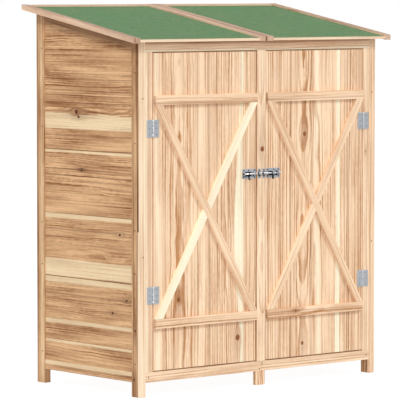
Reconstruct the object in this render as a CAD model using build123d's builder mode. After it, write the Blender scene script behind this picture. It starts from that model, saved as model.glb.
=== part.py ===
from build123d import *
import os

# Wooden tool shed on short legs: lean-to roof falling to the front, two ledged and
# cross-braced doors, a barrel bolt on each door.
# Millimetres. +X to the right as seen from the front, +Y to the back, +Z up.
# Origin: middle of the footprint of the roof, on the ground.

os.makedirs("parts", exist_ok=True)

# ---------------------------------------------------------------- driving sizes
HALF_W = 640.0          # body half width
Y_FRONT = -331.0        # front face of the body
Y_BACK = 339.0          # back face of the body
ROOF_HALF_W = 695.0     # roof half width
ROOF_Y0 = -367.0        # front edge of the roof
ROOF_Y1 = 367.0         # back edge of the roof
ROOF_Z0 = 1430.5        # top of the verge at the front edge
SLOPE = 0.1753          # rise of the roof per mm of depth

LEG = 58.0              # ground to underside of the rails
RAIL_H = 40.0           # height of the bottom rails
POST_W = 31.0           # corner post width on the front
POST_T = 11.5           # corner post thickness, front to back
STILE_W = 38.0          # side stile width, front to back
STILE_T = 30.0          # side stile thickness
FRAME_T = 15.0          # door frame layer, front to back
LIP = 5.0               # part of the post edge seen beside the shadow gap
GAP = 6.0               # depth and width of the shadow gap at the front corner
GAP_Z0 = 660.0          # the shadow gap starts at this height

CENTER_W = 46.0         # centre post and cover strip width
CENTER_T = 21.0         # centre post thickness
COVER_T = 4.0           # cover strip thickness

BOARD_T = 12.0          # wall and floor boards
BOARD_IN = 5.0          # wall boards set back from the stiles
DOOR_T = 10.0           # door boards
DOOR_GAP = 5.0          # clearance round each door
JAMB_W = 36.0           # jamb between post and door
HEAD_Z = 1375.0         # underside of the header
TOP_RAIL_H = 36.0       # sloping rail along the top of a side

LEDGE_H = 38.0          # horizontal door ledges
LEDGE_T = 13.0          # ledges and braces stand this far off the boards
UPPER_LEDGE_Z = 1163.0
LOWER_LEDGE_Z = 271.0
BRACE_X = 37.0          # brace width measured along X

VERGE_W = 31.0
VERGE_H = 21.5
DECK_DOWN = 9.2         # deck top below verge top
DECK_T = 10.0
FELT_T = 2.0
BATTEN_W = 37.0         # each of the two centre battens

HINGE_X = 570.5         # hinge pin, from the middle
HINGE_Y = -333.6        # hinge pin, in front of the doors
HINGE_H = 70.0
UPPER_HINGE_Z = 1070.0  # middle of the upper hinges
LOWER_HINGE_Z = 405.0
LEAF_T = 1.8
LEAF_REACH = 31.0       # pin to the edge of a leaf
KNUCKLE_R = 3.3
PIN_R = 1.6
PIN_BORE_R = 1.66

BOLT_Z = 871.0          # height of both barrel bolts
ROD_R = 3.5
ROD_BORE_R = 3.56
ROD_Y = Y_FRONT - 9.4   # rod line, in front of the doors
PLATE_T = 1.6
PLATE_H = 40.0


def roof_z(y, down=0.0):
    """height of the roof plane at y, a given distance below the verge top"""
    return ROOF_Z0 + SLOPE * (y - ROOF_Y0) - down


DECK_BOTTOM = DECK_DOWN + DECK_T   # walls stop here, under the deck
RAIL_TOP = LEG + RAIL_H
DOOR_Z0 = RAIL_TOP + DOOR_GAP
DOOR_Z1 = HEAD_Z - DOOR_GAP
STILE_Y0 = Y_FRONT + POST_T        # front edge of the front stiles
STILE_Y1 = STILE_Y0 + STILE_W
BSTILE_Y1 = Y_BACK - POST_T        # back edge of the back stiles
BSTILE_Y0 = BSTILE_Y1 - STILE_W
JAMB_X0 = HALF_W - POST_W          # outer edge of the jambs
JAMB_X1 = JAMB_X0 - JAMB_W         # edge of the doorway
DOOR_X1 = JAMB_X1 - DOOR_GAP       # hinge edge of a door
DOOR_X0 = CENTER_W / 2 + DOOR_GAP  # free edge of a door


# ---------------------------------------------------------------- front frame
with BuildPart() as front_left_post:
    with BuildSketch(Plane.YZ.offset(-HALF_W)):
        with BuildLine():
            Polyline(
                (Y_FRONT, 0), (Y_FRONT + POST_T, 0),
                (Y_FRONT + POST_T, roof_z(Y_FRONT + POST_T, DECK_BOTTOM)),
                (Y_FRONT, roof_z(Y_FRONT, DECK_BOTTOM)), close=True,
            )
        make_face()
    extrude(amount=POST_W)
    # rebate that leaves a dark line between the front frame and the side
    with BuildSketch(Plane.XY.offset(GAP_Z0)):
        with Locations((-HALF_W, Y_FRONT + LIP)):
            Rectangle(GAP, POST_T - LIP, align=(Align.MIN, Align.MIN))
    extrude(amount=1500, mode=Mode.SUBTRACT)
front_left_post.part.label = "front_left_post"
export_step(front_left_post.part, "parts/front_left_post.step")

with BuildPart() as front_right_post:
    add(mirror(front_left_post.part, about=Plane.YZ, mode=Mode.PRIVATE))
front_right_post.part.label = "front_right_post"
export_step(front_right_post.part, "parts/front_right_post.step")

with BuildPart() as front_center_post:
    with BuildSketch(Plane.YZ.offset(-CENTER_W / 2)):
        with BuildLine():
            Polyline(
                (Y_FRONT, 0), (Y_FRONT + CENTER_T, 0),
                (Y_FRONT + CENTER_T, roof_z(Y_FRONT + CENTER_T, DECK_BOTTOM)),
                (Y_FRONT + FRAME_T, roof_z(Y_FRONT + FRAME_T, DECK_BOTTOM)),
                # halved behind the header and behind the bottom rail
                (Y_FRONT + FRAME_T, HEAD_Z), (Y_FRONT, HEAD_Z),
                (Y_FRONT, RAIL_TOP), (Y_FRONT + FRAME_T, RAIL_TOP),
                (Y_FRONT + FRAME_T, LEG), (Y_FRONT, LEG), close=True,
            )
        make_face()
    extrude(amount=CENTER_W)
front_center_post.part.label = "front_center_post"
export_step(front_center_post.part, "parts/front_center_post.step")

with BuildPart() as center_cover_strip:
    with BuildSketch(Plane.XY.offset(RAIL_TOP)):
        with Locations((0, Y_FRONT)):
            Rectangle(CENTER_W, COVER_T, align=(Align.CENTER, Align.MAX))
    extrude(amount=HEAD_Z - RAIL_TOP)
center_cover_strip.part.label = "center_cover_strip"
export_step(center_cover_strip.part, "parts/center_cover_strip.step")

with BuildPart() as front_header:
    with BuildSketch(Plane.YZ.offset(-JAMB_X0)):
        with BuildLine():
            Polyline(
                (Y_FRONT, HEAD_Z), (Y_FRONT + FRAME_T, HEAD_Z),
                (Y_FRONT + FRAME_T, roof_z(Y_FRONT + FRAME_T, DECK_BOTTOM)),
                (Y_FRONT, roof_z(Y_FRONT, DECK_BOTTOM)), close=True,
            )
        make_face()
    extrude(amount=2 * JAMB_X0)
front_header.part.label = "front_header"
export_step(front_header.part, "parts/front_header.step")

with BuildPart() as front_bottom_rail:
    with BuildSketch(Plane.XY.offset(LEG)):
        with Locations((0, Y_FRONT)):
            Rectangle(2 * JAMB_X0, FRAME_T, align=(Align.CENTER, Align.MIN))
    extrude(amount=RAIL_H)
front_bottom_rail.part.label = "front_bottom_rail"
export_step(front_bottom_rail.part, "parts/front_bottom_rail.step")

with BuildPart() as door_jambs:
    with BuildSketch(Plane.XY.offset(RAIL_TOP)):
        with Locations((-JAMB_X0, Y_FRONT)):
            Rectangle(JAMB_W, FRAME_T, align=(Align.MIN, Align.MIN))
        with Locations((JAMB_X0, Y_FRONT)):
            Rectangle(JAMB_W, FRAME_T, align=(Align.MAX, Align.MIN))
    extrude(amount=HEAD_Z - RAIL_TOP)
door_jambs.part.label = "door_jambs"
export_step(door_jambs.part, "parts/door_jambs.step")

# stops behind the doors: two at the hinge sides, one behind the centre post, two along the
# header and two along the floor
STOP_T = 12.0
with BuildPart() as door_stops:
    with BuildSketch(Plane.XY.offset(RAIL_TOP)):
        for side in (-1, 1):
            with Locations((side * 579.0, Y_FRONT + FRAME_T)):
                Rectangle(42, STOP_T, align=(Align.CENTER, Align.MIN))
        with Locations((0, Y_FRONT + CENTER_T)):
            Rectangle(80, STOP_T - CENTER_T + FRAME_T, align=(Align.CENTER, Align.MIN))
        for side in (-1, 1):
            with Locations((side * (CENTER_W / 2 + 8.5), Y_FRONT + FRAME_T)):
                Rectangle(17, CENTER_T - FRAME_T + 1, align=(Align.CENTER, Align.MIN))
    extrude(amount=HEAD_Z - RAIL_TOP - 20)
    with BuildSketch(Plane.XY.offset(HEAD_Z - 19.5)):
        for side in (-1, 1):
            with Locations((side * 311.5, Y_FRONT + FRAME_T)):
                Rectangle(576, STOP_T, align=(Align.CENTER, Align.MIN))
    extrude(amount=42)
    with BuildSketch(Plane.XY.offset(RAIL_TOP)):
        for side in (-1, 1):
            with Locations((side * 299.0, Y_FRONT + FRAME_T)):
                Rectangle(517, STOP_T, align=(Align.CENTER, Align.MIN))
    extrude(amount=20)
door_stops.part.label = "door_stops"
export_step(door_stops.part, "parts/door_stops.step")

# ---------------------------------------------------------------- side walls
with BuildPart() as left_wall_stiles:
    for y0 in (STILE_Y0, BSTILE_Y0):
        with BuildSketch(Plane.YZ.offset(-HALF_W)):
            with BuildLine():
                Polyline(
                    (y0, 0), (y0 + STILE_W, 0),
                    (y0 + STILE_W, roof_z(y0 + STILE_W, DECK_BOTTOM)),
                    (y0, roof_z(y0, DECK_BOTTOM)), close=True,
                )
            make_face()
        extrude(amount=STILE_T)
left_wall_stiles.part.label = "left_wall_stiles"
export_step(left_wall_stiles.part, "parts/left_wall_stiles.step")

with BuildPart() as right_wall_stiles:
    add(mirror(left_wall_stiles.part, about=Plane.YZ, mode=Mode.PRIVATE))
right_wall_stiles.part.label = "right_wall_stiles"
export_step(right_wall_stiles.part, "parts/right_wall_stiles.step")

RAIL_IN = 2.5
with BuildPart() as left_wall_rails:
    with BuildSketch(Plane.XY.offset(LEG)):
        with Locations((-HALF_W + RAIL_IN, STILE_Y1)):
            Rectangle(STILE_T - RAIL_IN, BSTILE_Y0 - STILE_Y1, align=(Align.MIN, Align.MIN))
    extrude(amount=RAIL_H)
    with BuildSketch(Plane.YZ.offset(-HALF_W)):
        with BuildLine():
            Polyline(
                (STILE_Y1, roof_z(STILE_Y1, DECK_BOTTOM + TOP_RAIL_H)),
                (BSTILE_Y0, roof_z(BSTILE_Y0, DECK_BOTTOM + TOP_RAIL_H)),
                (BSTILE_Y0, roof_z(BSTILE_Y0, DECK_BOTTOM)),
                (STILE_Y1, roof_z(STILE_Y1, DECK_BOTTOM)), close=True,
            )
        make_face()
    extrude(amount=STILE_T)
left_wall_rails.part.label = "left_wall_rails"
export_step(left_wall_rails.part, "parts/left_wall_rails.step")

with BuildPart() as right_wall_rails:
    add(mirror(left_wall_rails.part, about=Plane.YZ, mode=Mode.PRIVATE))
right_wall_rails.part.label = "right_wall_rails"
export_step(right_wall_rails.part, "parts/right_wall_rails.step")

with BuildPart() as left_wall_boards:
    with BuildSketch(Plane.YZ.offset(-HALF_W + BOARD_IN)):
        with BuildLine():
            Polyline(
                (STILE_Y1, RAIL_TOP), (BSTILE_Y0, RAIL_TOP),
                (BSTILE_Y0, roof_z(BSTILE_Y0, DECK_BOTTOM + TOP_RAIL_H)),
                (STILE_Y1, roof_z(STILE_Y1, DECK_BOTTOM + TOP_RAIL_H)), close=True,
            )
        make_face()
    extrude(amount=BOARD_T)
left_wall_boards.part.label = "left_wall_boards"
export_step(left_wall_boards.part, "parts/left_wall_boards.step")

with BuildPart() as right_wall_boards:
    add(mirror(left_wall_boards.part, about=Plane.YZ, mode=Mode.PRIVATE))
right_wall_boards.part.label = "right_wall_boards"
export_step(right_wall_boards.part, "parts/right_wall_boards.step")

# ---------------------------------------------------------------- back wall
with BuildPart() as back_left_post:
    with BuildSketch(Plane.YZ.offset(-HALF_W)):
        with BuildLine():
            Polyline(
                (Y_BACK - POST_T, 0), (Y_BACK, 0),
                (Y_BACK, roof_z(Y_BACK, DECK_BOTTOM)),
                (Y_BACK - POST_T, roof_z(Y_BACK - POST_T, DECK_BOTTOM)), close=True,
            )
        make_face()
    extrude(amount=POST_W)
back_left_post.part.label = "back_left_post"
export_step(back_left_post.part, "parts/back_left_post.step")

with BuildPart() as back_right_post:
    add(mirror(back_left_post.part, about=Plane.YZ, mode=Mode.PRIVATE))
back_right_post.part.label = "back_right_post"
export_step(back_right_post.part, "parts/back_right_post.step")

BACK_HEAD_DOWN = DECK_BOTTOM + 45.0
with BuildPart() as back_center_post:
    with BuildSketch(Plane.YZ.offset(-CENTER_W / 2)):
        with BuildLine():
            Polyline(
                (Y_BACK, 0), (Y_BACK - CENTER_T, 0),
                (Y_BACK - CENTER_T, roof_z(Y_BACK - CENTER_T, DECK_BOTTOM)),
                (Y_BACK - POST_T, roof_z(Y_BACK - POST_T, DECK_BOTTOM)),
                (Y_BACK - POST_T, roof_z(Y_BACK, BACK_HEAD_DOWN)),
                (Y_BACK, roof_z(Y_BACK, BACK_HEAD_DOWN)),
                (Y_BACK, RAIL_TOP), (Y_BACK - POST_T, RAIL_TOP),
                (Y_BACK - POST_T, LEG), (Y_BACK, LEG), close=True,
            )
        make_face()
    extrude(amount=CENTER_W)
back_center_post.part.label = "back_center_post"
export_step(back_center_post.part, "parts/back_center_post.step")

with BuildPart() as back_bottom_rail:
    with BuildSketch(Plane.XY.offset(LEG)):
        with Locations((0, Y_BACK)):
            Rectangle(2 * JAMB_X0, POST_T, align=(Align.CENTER, Align.MAX))
    extrude(amount=RAIL_H)
back_bottom_rail.part.label = "back_bottom_rail"
export_step(back_bottom_rail.part, "parts/back_bottom_rail.step")

with BuildPart() as back_top_rail:
    with BuildSketch(Plane.YZ.offset(-JAMB_X0)):
        with BuildLine():
            Polyline(
                (Y_BACK - POST_T, roof_z(Y_BACK, BACK_HEAD_DOWN)), (Y_BACK, roof_z(Y_BACK, BACK_HEAD_DOWN)),
                (Y_BACK, roof_z(Y_BACK, DECK_BOTTOM)),
                (Y_BACK - POST_T, roof_z(Y_BACK - POST_T, DECK_BOTTOM)), close=True,
            )
        make_face()
    extrude(amount=2 * JAMB_X0)
back_top_rail.part.label = "back_top_rail"
export_step(back_top_rail.part, "parts/back_top_rail.step")

with BuildPart() as back_wall_boards:
    with BuildSketch(Plane.XY.offset(RAIL_TOP)):
        for side in (-1, 1):
            with Locations((side * (JAMB_X0 + CENTER_W / 2) / 2, Y_BACK - BOARD_IN)):
                Rectangle(JAMB_X0 - CENTER_W / 2, BOARD_T, align=(Align.CENTER, Align.MAX))
    extrude(amount=roof_z(Y_BACK, BACK_HEAD_DOWN) - RAIL_TOP)
back_wall_boards.part.label = "back_wall_boards"
export_step(back_wall_boards.part, "parts/back_wall_boards.step")

# ---------------------------------------------------------------- floor
with BuildPart() as floor:
    with BuildSketch(Plane.XY.offset(RAIL_TOP - BOARD_T)):
        with Locations((0, Y_FRONT + CENTER_T)):
            Rectangle(2 * (HALF_W - STILE_T), Y_BACK - CENTER_T - Y_FRONT - CENTER_T, align=(Align.CENTER, Align.MIN))
    extrude(amount=BOARD_T)
floor.part.label = "floor"
export_step(floor.part, "parts/floor.step")

with BuildPart() as floor_bearers:
    with BuildSketch(Plane.XY.offset(LEG)):
        for y in (-180.0, 4.0, 190.0):
            with Locations((0, y)):
                Rectangle(2 * (HALF_W - STILE_T), 30)
    extrude(amount=RAIL_H - BOARD_T)
floor_bearers.part.label = "floor_bearers"
export_step(floor_bearers.part, "parts/floor_bearers.step")

# ---------------------------------------------------------------- roof
with BuildPart() as left_verge:
    with BuildSketch(Plane.YZ.offset(-ROOF_HALF_W)):
        with BuildLine():
            Polyline(
                (ROOF_Y0, roof_z(ROOF_Y0, VERGE_H)), (ROOF_Y1, roof_z(ROOF_Y1, VERGE_H)),
                (ROOF_Y1, roof_z(ROOF_Y1)), (ROOF_Y0, roof_z(ROOF_Y0)), close=True,
            )
        make_face()
    extrude(amount=VERGE_W)
left_verge.part.label = "left_verge"
export_step(left_verge.part, "parts/left_verge.step")

with BuildPart() as right_verge:
    add(mirror(left_verge.part, about=Plane.YZ, mode=Mode.PRIVATE))
right_verge.part.label = "right_verge"
export_step(right_verge.part, "parts/right_verge.step")

with BuildPart() as roof_center_battens:
    for x0 in (-1.0 - BATTEN_W, 1.0):
        with BuildSketch(Plane.YZ.offset(x0)):
            with BuildLine():
                Polyline(
                    (ROOF_Y0, roof_z(ROOF_Y0, DECK_BOTTOM)), (ROOF_Y1, roof_z(ROOF_Y1, DECK_BOTTOM)),
                    (ROOF_Y1, roof_z(ROOF_Y1)), (ROOF_Y0, roof_z(ROOF_Y0)), close=True,
                )
            make_face()
        extrude(amount=BATTEN_W)
roof_center_battens.part.label = "roof_center_battens"
export_step(roof_center_battens.part, "parts/roof_center_battens.step")

EDGE_F = 10.0           # front edge strip, front to back
EDGE_B = 15.0           # back edge strip, front to back
PANEL_X0 = 1.0 + BATTEN_W
PANEL_X1 = ROOF_HALF_W - VERGE_W
with BuildPart() as roof_deck:
    for x0 in (-PANEL_X1, PANEL_X0):
        with BuildSketch(Plane.YZ.offset(x0)):
            with BuildLine():
                Polyline(
                    (ROOF_Y0 + EDGE_F, roof_z(ROOF_Y0 + EDGE_F, DECK_BOTTOM)),
                    (ROOF_Y1 - EDGE_B, roof_z(ROOF_Y1 - EDGE_B, DECK_BOTTOM)),
                    (ROOF_Y1 - EDGE_B, roof_z(ROOF_Y1 - EDGE_B, DECK_DOWN)),
                    (ROOF_Y0 + EDGE_F, roof_z(ROOF_Y0 + EDGE_F, DECK_DOWN)), close=True,
                )
            make_face()
        extrude(amount=PANEL_X1 - PANEL_X0)
roof_deck.part.label = "roof_deck"
export_step(roof_deck.part, "parts/roof_deck.step")

with BuildPart() as roof_felt:
    for x0 in (-PANEL_X1, PANEL_X0):
        with BuildSketch(Plane.YZ.offset(x0)):
            with BuildLine():
                Polyline(
                    (ROOF_Y0 + EDGE_F, roof_z(ROOF_Y0 + EDGE_F, DECK_DOWN)),
                    (ROOF_Y1 - EDGE_B, roof_z(ROOF_Y1 - EDGE_B, DECK_DOWN)),
                    (ROOF_Y1 - EDGE_B, roof_z(ROOF_Y1 - EDGE_B, DECK_DOWN - FELT_T)),
                    (ROOF_Y0 + EDGE_F, roof_z(ROOF_Y0 + EDGE_F, DECK_DOWN - FELT_T)), close=True,
                )
            make_face()
        extrude(amount=PANEL_X1 - PANEL_X0)
roof_felt.part.label = "roof_felt"
export_step(roof_felt.part, "parts/roof_felt.step")

with BuildPart() as roof_front_edge:
    for x0 in (-PANEL_X1, PANEL_X0):
        with BuildSketch(Plane.YZ.offset(x0)):
            with BuildLine():
                Polyline(
                    (ROOF_Y0, roof_z(ROOF_Y0, 17.2)), (ROOF_Y0 + EDGE_F, roof_z(ROOF_Y0 + EDGE_F, 17.2)),
                    (ROOF_Y0 + EDGE_F, roof_z(ROOF_Y0 + EDGE_F, 7.2)), (ROOF_Y0, roof_z(ROOF_Y0, 7.2)), close=True,
                )
            make_face()
        extrude(amount=PANEL_X1 - PANEL_X0)
roof_front_edge.part.label = "roof_front_edge"
export_step(roof_front_edge.part, "parts/roof_front_edge.step")

with BuildPart() as roof_back_edge:
    for x0 in (-PANEL_X1, PANEL_X0):
        with BuildSketch(Plane.YZ.offset(x0)):
            with BuildLine():
                Polyline(
                    (ROOF_Y1 - EDGE_B, roof_z(ROOF_Y1 - EDGE_B, VERGE_H)), (ROOF_Y1, roof_z(ROOF_Y1, VERGE_H)),
                    (ROOF_Y1, roof_z(ROOF_Y1, 1)), (ROOF_Y1 - EDGE_B, roof_z(ROOF_Y1 - EDGE_B, 1)), close=True,
                )
            make_face()
        extrude(amount=PANEL_X1 - PANEL_X0)
roof_back_edge.part.label = "roof_back_edge"
export_step(roof_back_edge.part, "parts/roof_back_edge.step")

# ---------------------------------------------------------------- doors
LEDGE_X0 = DOOR_X0            # ledges run from the free edge
LEDGE_L1 = 565.0              # to here on the left door
LEDGE_R1 = 561.0              # and to here on the right door

with BuildPart() as left_door_boards:
    with BuildSketch(Plane.XY.offset(DOOR_Z0)):
        with Locations((-DOOR_X1, Y_FRONT)):
            Rectangle(DOOR_X1 - DOOR_X0, DOOR_T, align=(Align.MIN, Align.MIN))
    extrude(amount=DOOR_Z1 - DOOR_Z0)
left_door_boards.part.label = "left_door_boards"
export_step(left_door_boards.part, "parts/left_door_boards.step")

with BuildPart() as right_door_boards:
    with BuildSketch(Plane.XY.offset(DOOR_Z0)):
        with Locations((DOOR_X0, Y_FRONT)):
            Rectangle(DOOR_X1 - DOOR_X0, DOOR_T, align=(Align.MIN, Align.MIN))
    extrude(amount=DOOR_Z1 - DOOR_Z0)
right_door_boards.part.label = "right_door_boards"
export_step(right_door_boards.part, "parts/right_door_boards.step")

with BuildPart() as left_door_ledges:
    for z in (LOWER_LEDGE_Z, UPPER_LEDGE_Z):
        with BuildSketch(Plane.XY.offset(z)):
            with Locations((-LEDGE_L1, Y_FRONT)):
                Rectangle(LEDGE_L1 - LEDGE_X0, LEDGE_T, align=(Align.MIN, Align.MAX))
        extrude(amount=LEDGE_H)
left_door_ledges.part.label = "left_door_ledges"
export_step(left_door_ledges.part, "parts/left_door_ledges.step")

with BuildPart() as right_door_ledges:
    for z in (LOWER_LEDGE_Z, UPPER_LEDGE_Z):
        with BuildSketch(Plane.XY.offset(z)):
            with Locations((LEDGE_X0, Y_FRONT)):
                Rectangle(LEDGE_R1 - LEDGE_X0, LEDGE_T, align=(Align.MIN, Align.MAX))
        extrude(amount=LEDGE_H)
right_door_ledges.part.label = "right_door_ledges"
export_step(right_door_ledges.part, "parts/right_door_ledges.step")

BZ1 = UPPER_LEDGE_Z
BZ0 = LOWER_LEDGE_Z + LEDGE_H
# Plane.XZ looks along -Y: its sketch is (x, z) and a positive extrude goes to -Y
with BuildPart() as left_door_long_brace:
    with BuildSketch(Plane.XZ.offset(-Y_FRONT)):
        with BuildLine():
            Polyline(
                (-LEDGE_L1, BZ1), (-LEDGE_X0 - BRACE_X, BZ0), (-LEDGE_X0, BZ0), (-LEDGE_L1 + BRACE_X, BZ1),
                close=True,
            )
        make_face()
    extrude(amount=LEDGE_T)
left_door_long_brace.part.label = "left_door_long_brace"
export_step(left_door_long_brace.part, "parts/left_door_long_brace.step")

with BuildPart() as left_door_short_braces:
    with BuildSketch(Plane.XZ.offset(-Y_FRONT)):
        with BuildLine():
            Polyline(
                (-LEDGE_X0, BZ1), (-LEDGE_L1 + BRACE_X, BZ0), (-LEDGE_L1, BZ0), (-LEDGE_X0 - BRACE_X, BZ1),
                close=True,
            )
        make_face()
    extrude(amount=LEDGE_T)
    # cut away where the long brace passes
    with BuildSketch(Plane.XZ.offset(-Y_FRONT)):
        with BuildLine():
            Polyline(
                (-LEDGE_L1 - 0.5, BZ1), (-LEDGE_X0 - BRACE_X - 0.5, BZ0), (-LEDGE_X0 + 0.5, BZ0),
                (-LEDGE_L1 + BRACE_X + 0.5, BZ1), close=True,
            )
        make_face()
    extrude(amount=LEDGE_T, mode=Mode.SUBTRACT)
left_door_short_braces.part.label = "left_door_short_braces"
export_step(left_door_short_braces.part, "parts/left_door_short_braces.step")

with BuildPart() as right_door_long_brace:
    with BuildSketch(Plane.XZ.offset(-Y_FRONT)):
        with BuildLine():
            Polyline(
                (LEDGE_X0, BZ1), (LEDGE_R1 - BRACE_X, BZ0), (LEDGE_R1, BZ0), (LEDGE_X0 + BRACE_X, BZ1),
                close=True,
            )
        make_face()
    extrude(amount=LEDGE_T)
right_door_long_brace.part.label = "right_door_long_brace"
export_step(right_door_long_brace.part, "parts/right_door_long_brace.step")

with BuildPart() as right_door_short_braces:
    with BuildSketch(Plane.XZ.offset(-Y_FRONT)):
        with BuildLine():
            Polyline(
                (LEDGE_R1, BZ1), (LEDGE_X0 + BRACE_X, BZ0), (LEDGE_X0, BZ0), (LEDGE_R1 - BRACE_X, BZ1),
                close=True,
            )
        make_face()
    extrude(amount=LEDGE_T)
    with BuildSketch(Plane.XZ.offset(-Y_FRONT)):
        with BuildLine():
            Polyline(
                (LEDGE_X0 - 0.5, BZ1), (LEDGE_R1 - BRACE_X - 0.5, BZ0), (LEDGE_R1 + 0.5, BZ0),
                (LEDGE_X0 + BRACE_X + 0.5, BZ1), close=True,
            )
        make_face()
    extrude(amount=LEDGE_T, mode=Mode.SUBTRACT)
right_door_short_braces.part.label = "right_door_short_braces"
export_step(right_door_short_braces.part, "parts/right_door_short_braces.step")

# ---------------------------------------------------------------- hinges
# five knuckles each: the frame leaf carries the pin and knuckles 1, 3 and 5
KN = HINGE_H / 5
KN_CLEAR = 0.4
with BuildPart() as frame_hinge_leaves:
    for side in (-1, 1):
        for zc in (LOWER_HINGE_Z, UPPER_HINGE_Z):
            z0 = zc - HINGE_H / 2
            # pin
            with BuildSketch(Plane.XY.offset(z0)):
                with Locations((side * HINGE_X, HINGE_Y)):
                    Circle(PIN_R)
            extrude(amount=HINGE_H)
            # knuckles with the leaf that runs onto the jamb
            for k in (0, 2, 4):
                with BuildSketch(Plane.XY.offset(z0 + k * KN + (KN_CLEAR if k else 0))):
                    with Locations((side * HINGE_X, HINGE_Y)):
                        Circle(KNUCKLE_R)
                    with Locations((side * (HINGE_X + LEAF_REACH / 2), Y_FRONT - LEAF_T / 2)):
                        Rectangle(LEAF_REACH, LEAF_T)
                extrude(amount=KN - KN_CLEAR * (1 if k in (0, 4) else 2))
            with BuildSketch(Plane.XY.offset(z0)):
                with Locations((side * (HINGE_X + (LEAF_REACH + 4.5) / 2), Y_FRONT - LEAF_T / 2)):
                    Rectangle(LEAF_REACH - 4.5, LEAF_T)
            extrude(amount=HINGE_H)
frame_hinge_leaves.part.label = "frame_hinge_leaves"
export_step(frame_hinge_leaves.part, "parts/frame_hinge_leaves.step")

with BuildPart() as left_door_hinge_leaves:
    for zc in (LOWER_HINGE_Z, UPPER_HINGE_Z):
        z0 = zc - HINGE_H / 2
        for k in (1, 3):
            with BuildSketch(Plane.XY.offset(z0 + k * KN + KN_CLEAR)):
                with Locations((-HINGE_X, HINGE_Y)):
                    Circle(KNUCKLE_R)
                with Locations((-HINGE_X + LEAF_REACH / 2, Y_FRONT - LEAF_T / 2)):
                    Rectangle(LEAF_REACH, LEAF_T)
                with Locations((-HINGE_X, HINGE_Y)):
                    Circle(PIN_BORE_R, mode=Mode.SUBTRACT)
            extrude(amount=KN - 2 * KN_CLEAR)
        with BuildSketch(Plane.XY.offset(z0)):
            with Locations((-HINGE_X + (LEAF_REACH + 4.5) / 2, Y_FRONT - LEAF_T / 2)):
                Rectangle(LEAF_REACH - 4.5, LEAF_T)
        extrude(amount=HINGE_H)
left_door_hinge_leaves.part.label = "left_door_hinge_leaves"
export_step(left_door_hinge_leaves.part, "parts/left_door_hinge_leaves.step")

with BuildPart() as right_door_hinge_leaves:
    add(mirror(left_door_hinge_leaves.part, about=Plane.YZ, mode=Mode.PRIVATE))
right_door_hinge_leaves.part.label = "right_door_hinge_leaves"
export_step(right_door_hinge_leaves.part, "parts/right_door_hinge_leaves.step")

# ---------------------------------------------------------------- barrel bolts
PLATE_X0, PLATE_X1 = 29.0, 101.0
STRAP_R = ROD_BORE_R + 1.5
LEFT_STRAPS = ((-98.0, 8.0), (-52.0, 7.0), (-37.0, 7.0))     # start, length along X
RIGHT_STRAPS = ((30.0, 5.0), (62.0, 8.0), (90.0, 8.0))
KEEPERS = ((-20.0, 16.0), (4.0, 16.0))
KNOB_LEFT, KNOB_RIGHT = -74.0, 54.0
HANDLE_DROP = 21.0               # rod line down to the knob at the end of its handle
TIP = 24.5                       # rod tip, just clear of its keeper at rest

# Plane.YZ sketches are (y, z); a strap is a hood over the rod with two feet on the plate
with BuildPart() as left_bolt_plate:
    with BuildSketch(Plane.YZ.offset(-PLATE_X1)):
        with Locations((Y_FRONT, BOLT_Z)):
            Rectangle(PLATE_T, PLATE_H, align=(Align.MAX, Align.CENTER))
    extrude(amount=PLATE_X1 - PLATE_X0)
    for x0, length in LEFT_STRAPS:
        with BuildSketch(Plane.YZ.offset(x0)):
            with Locations((ROD_Y, BOLT_Z)):
                Circle(STRAP_R)
            with Locations((Y_FRONT - PLATE_T, BOLT_Z)):
                Rectangle(Y_FRONT - PLATE_T - ROD_Y, 2 * STRAP_R, align=(Align.MAX, Align.CENTER))
            with Locations((ROD_Y, BOLT_Z)):
                Circle(ROD_BORE_R, mode=Mode.SUBTRACT)
        extrude(amount=length)
left_bolt_plate.part.label = "left_bolt_plate"
export_step(left_bolt_plate.part, "parts/left_bolt_plate.step")

with BuildPart() as right_bolt_plate:
    with BuildSketch(Plane.YZ.offset(PLATE_X0)):
        with Locations((Y_FRONT, BOLT_Z)):
            Rectangle(PLATE_T, PLATE_H, align=(Align.MAX, Align.CENTER))
    extrude(amount=PLATE_X1 - PLATE_X0)
    for x0, length in RIGHT_STRAPS:
        with BuildSketch(Plane.YZ.offset(x0)):
            with Locations((ROD_Y, BOLT_Z)):
                Circle(STRAP_R)
            with Locations((Y_FRONT - PLATE_T, BOLT_Z)):
                Rectangle(Y_FRONT - PLATE_T - ROD_Y, 2 * STRAP_R, align=(Align.MAX, Align.CENTER))
            with Locations((ROD_Y, BOLT_Z)):
                Circle(ROD_BORE_R, mode=Mode.SUBTRACT)
        extrude(amount=length)
right_bolt_plate.part.label = "right_bolt_plate"
export_step(right_bolt_plate.part, "parts/right_bolt_plate.step")

with BuildPart() as left_bolt_rod:
    with BuildSketch(Plane.YZ.offset(-96.0)):
        with Locations((ROD_Y, BOLT_Z)):
            Circle(ROD_R)
    extrude(amount=96.0 - TIP)
    with BuildSketch(Plane.XZ.offset(-ROD_Y)):
        with Locations((KNOB_LEFT, BOLT_Z - HANDLE_DROP)):
            Circle(2.6)
    extrude(amount=12.0)
    with BuildSketch(Plane.XZ.offset(-ROD_Y)):
        with Locations((KNOB_LEFT, BOLT_Z + 5.0)):
            Rectangle(5.2, 7.6 + HANDLE_DROP, align=(Align.CENTER, Align.MAX))
    extrude(amount=3.4)
left_bolt_rod.part.label = "left_bolt_rod"
export_step(left_bolt_rod.part, "parts/left_bolt_rod.step")

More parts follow.
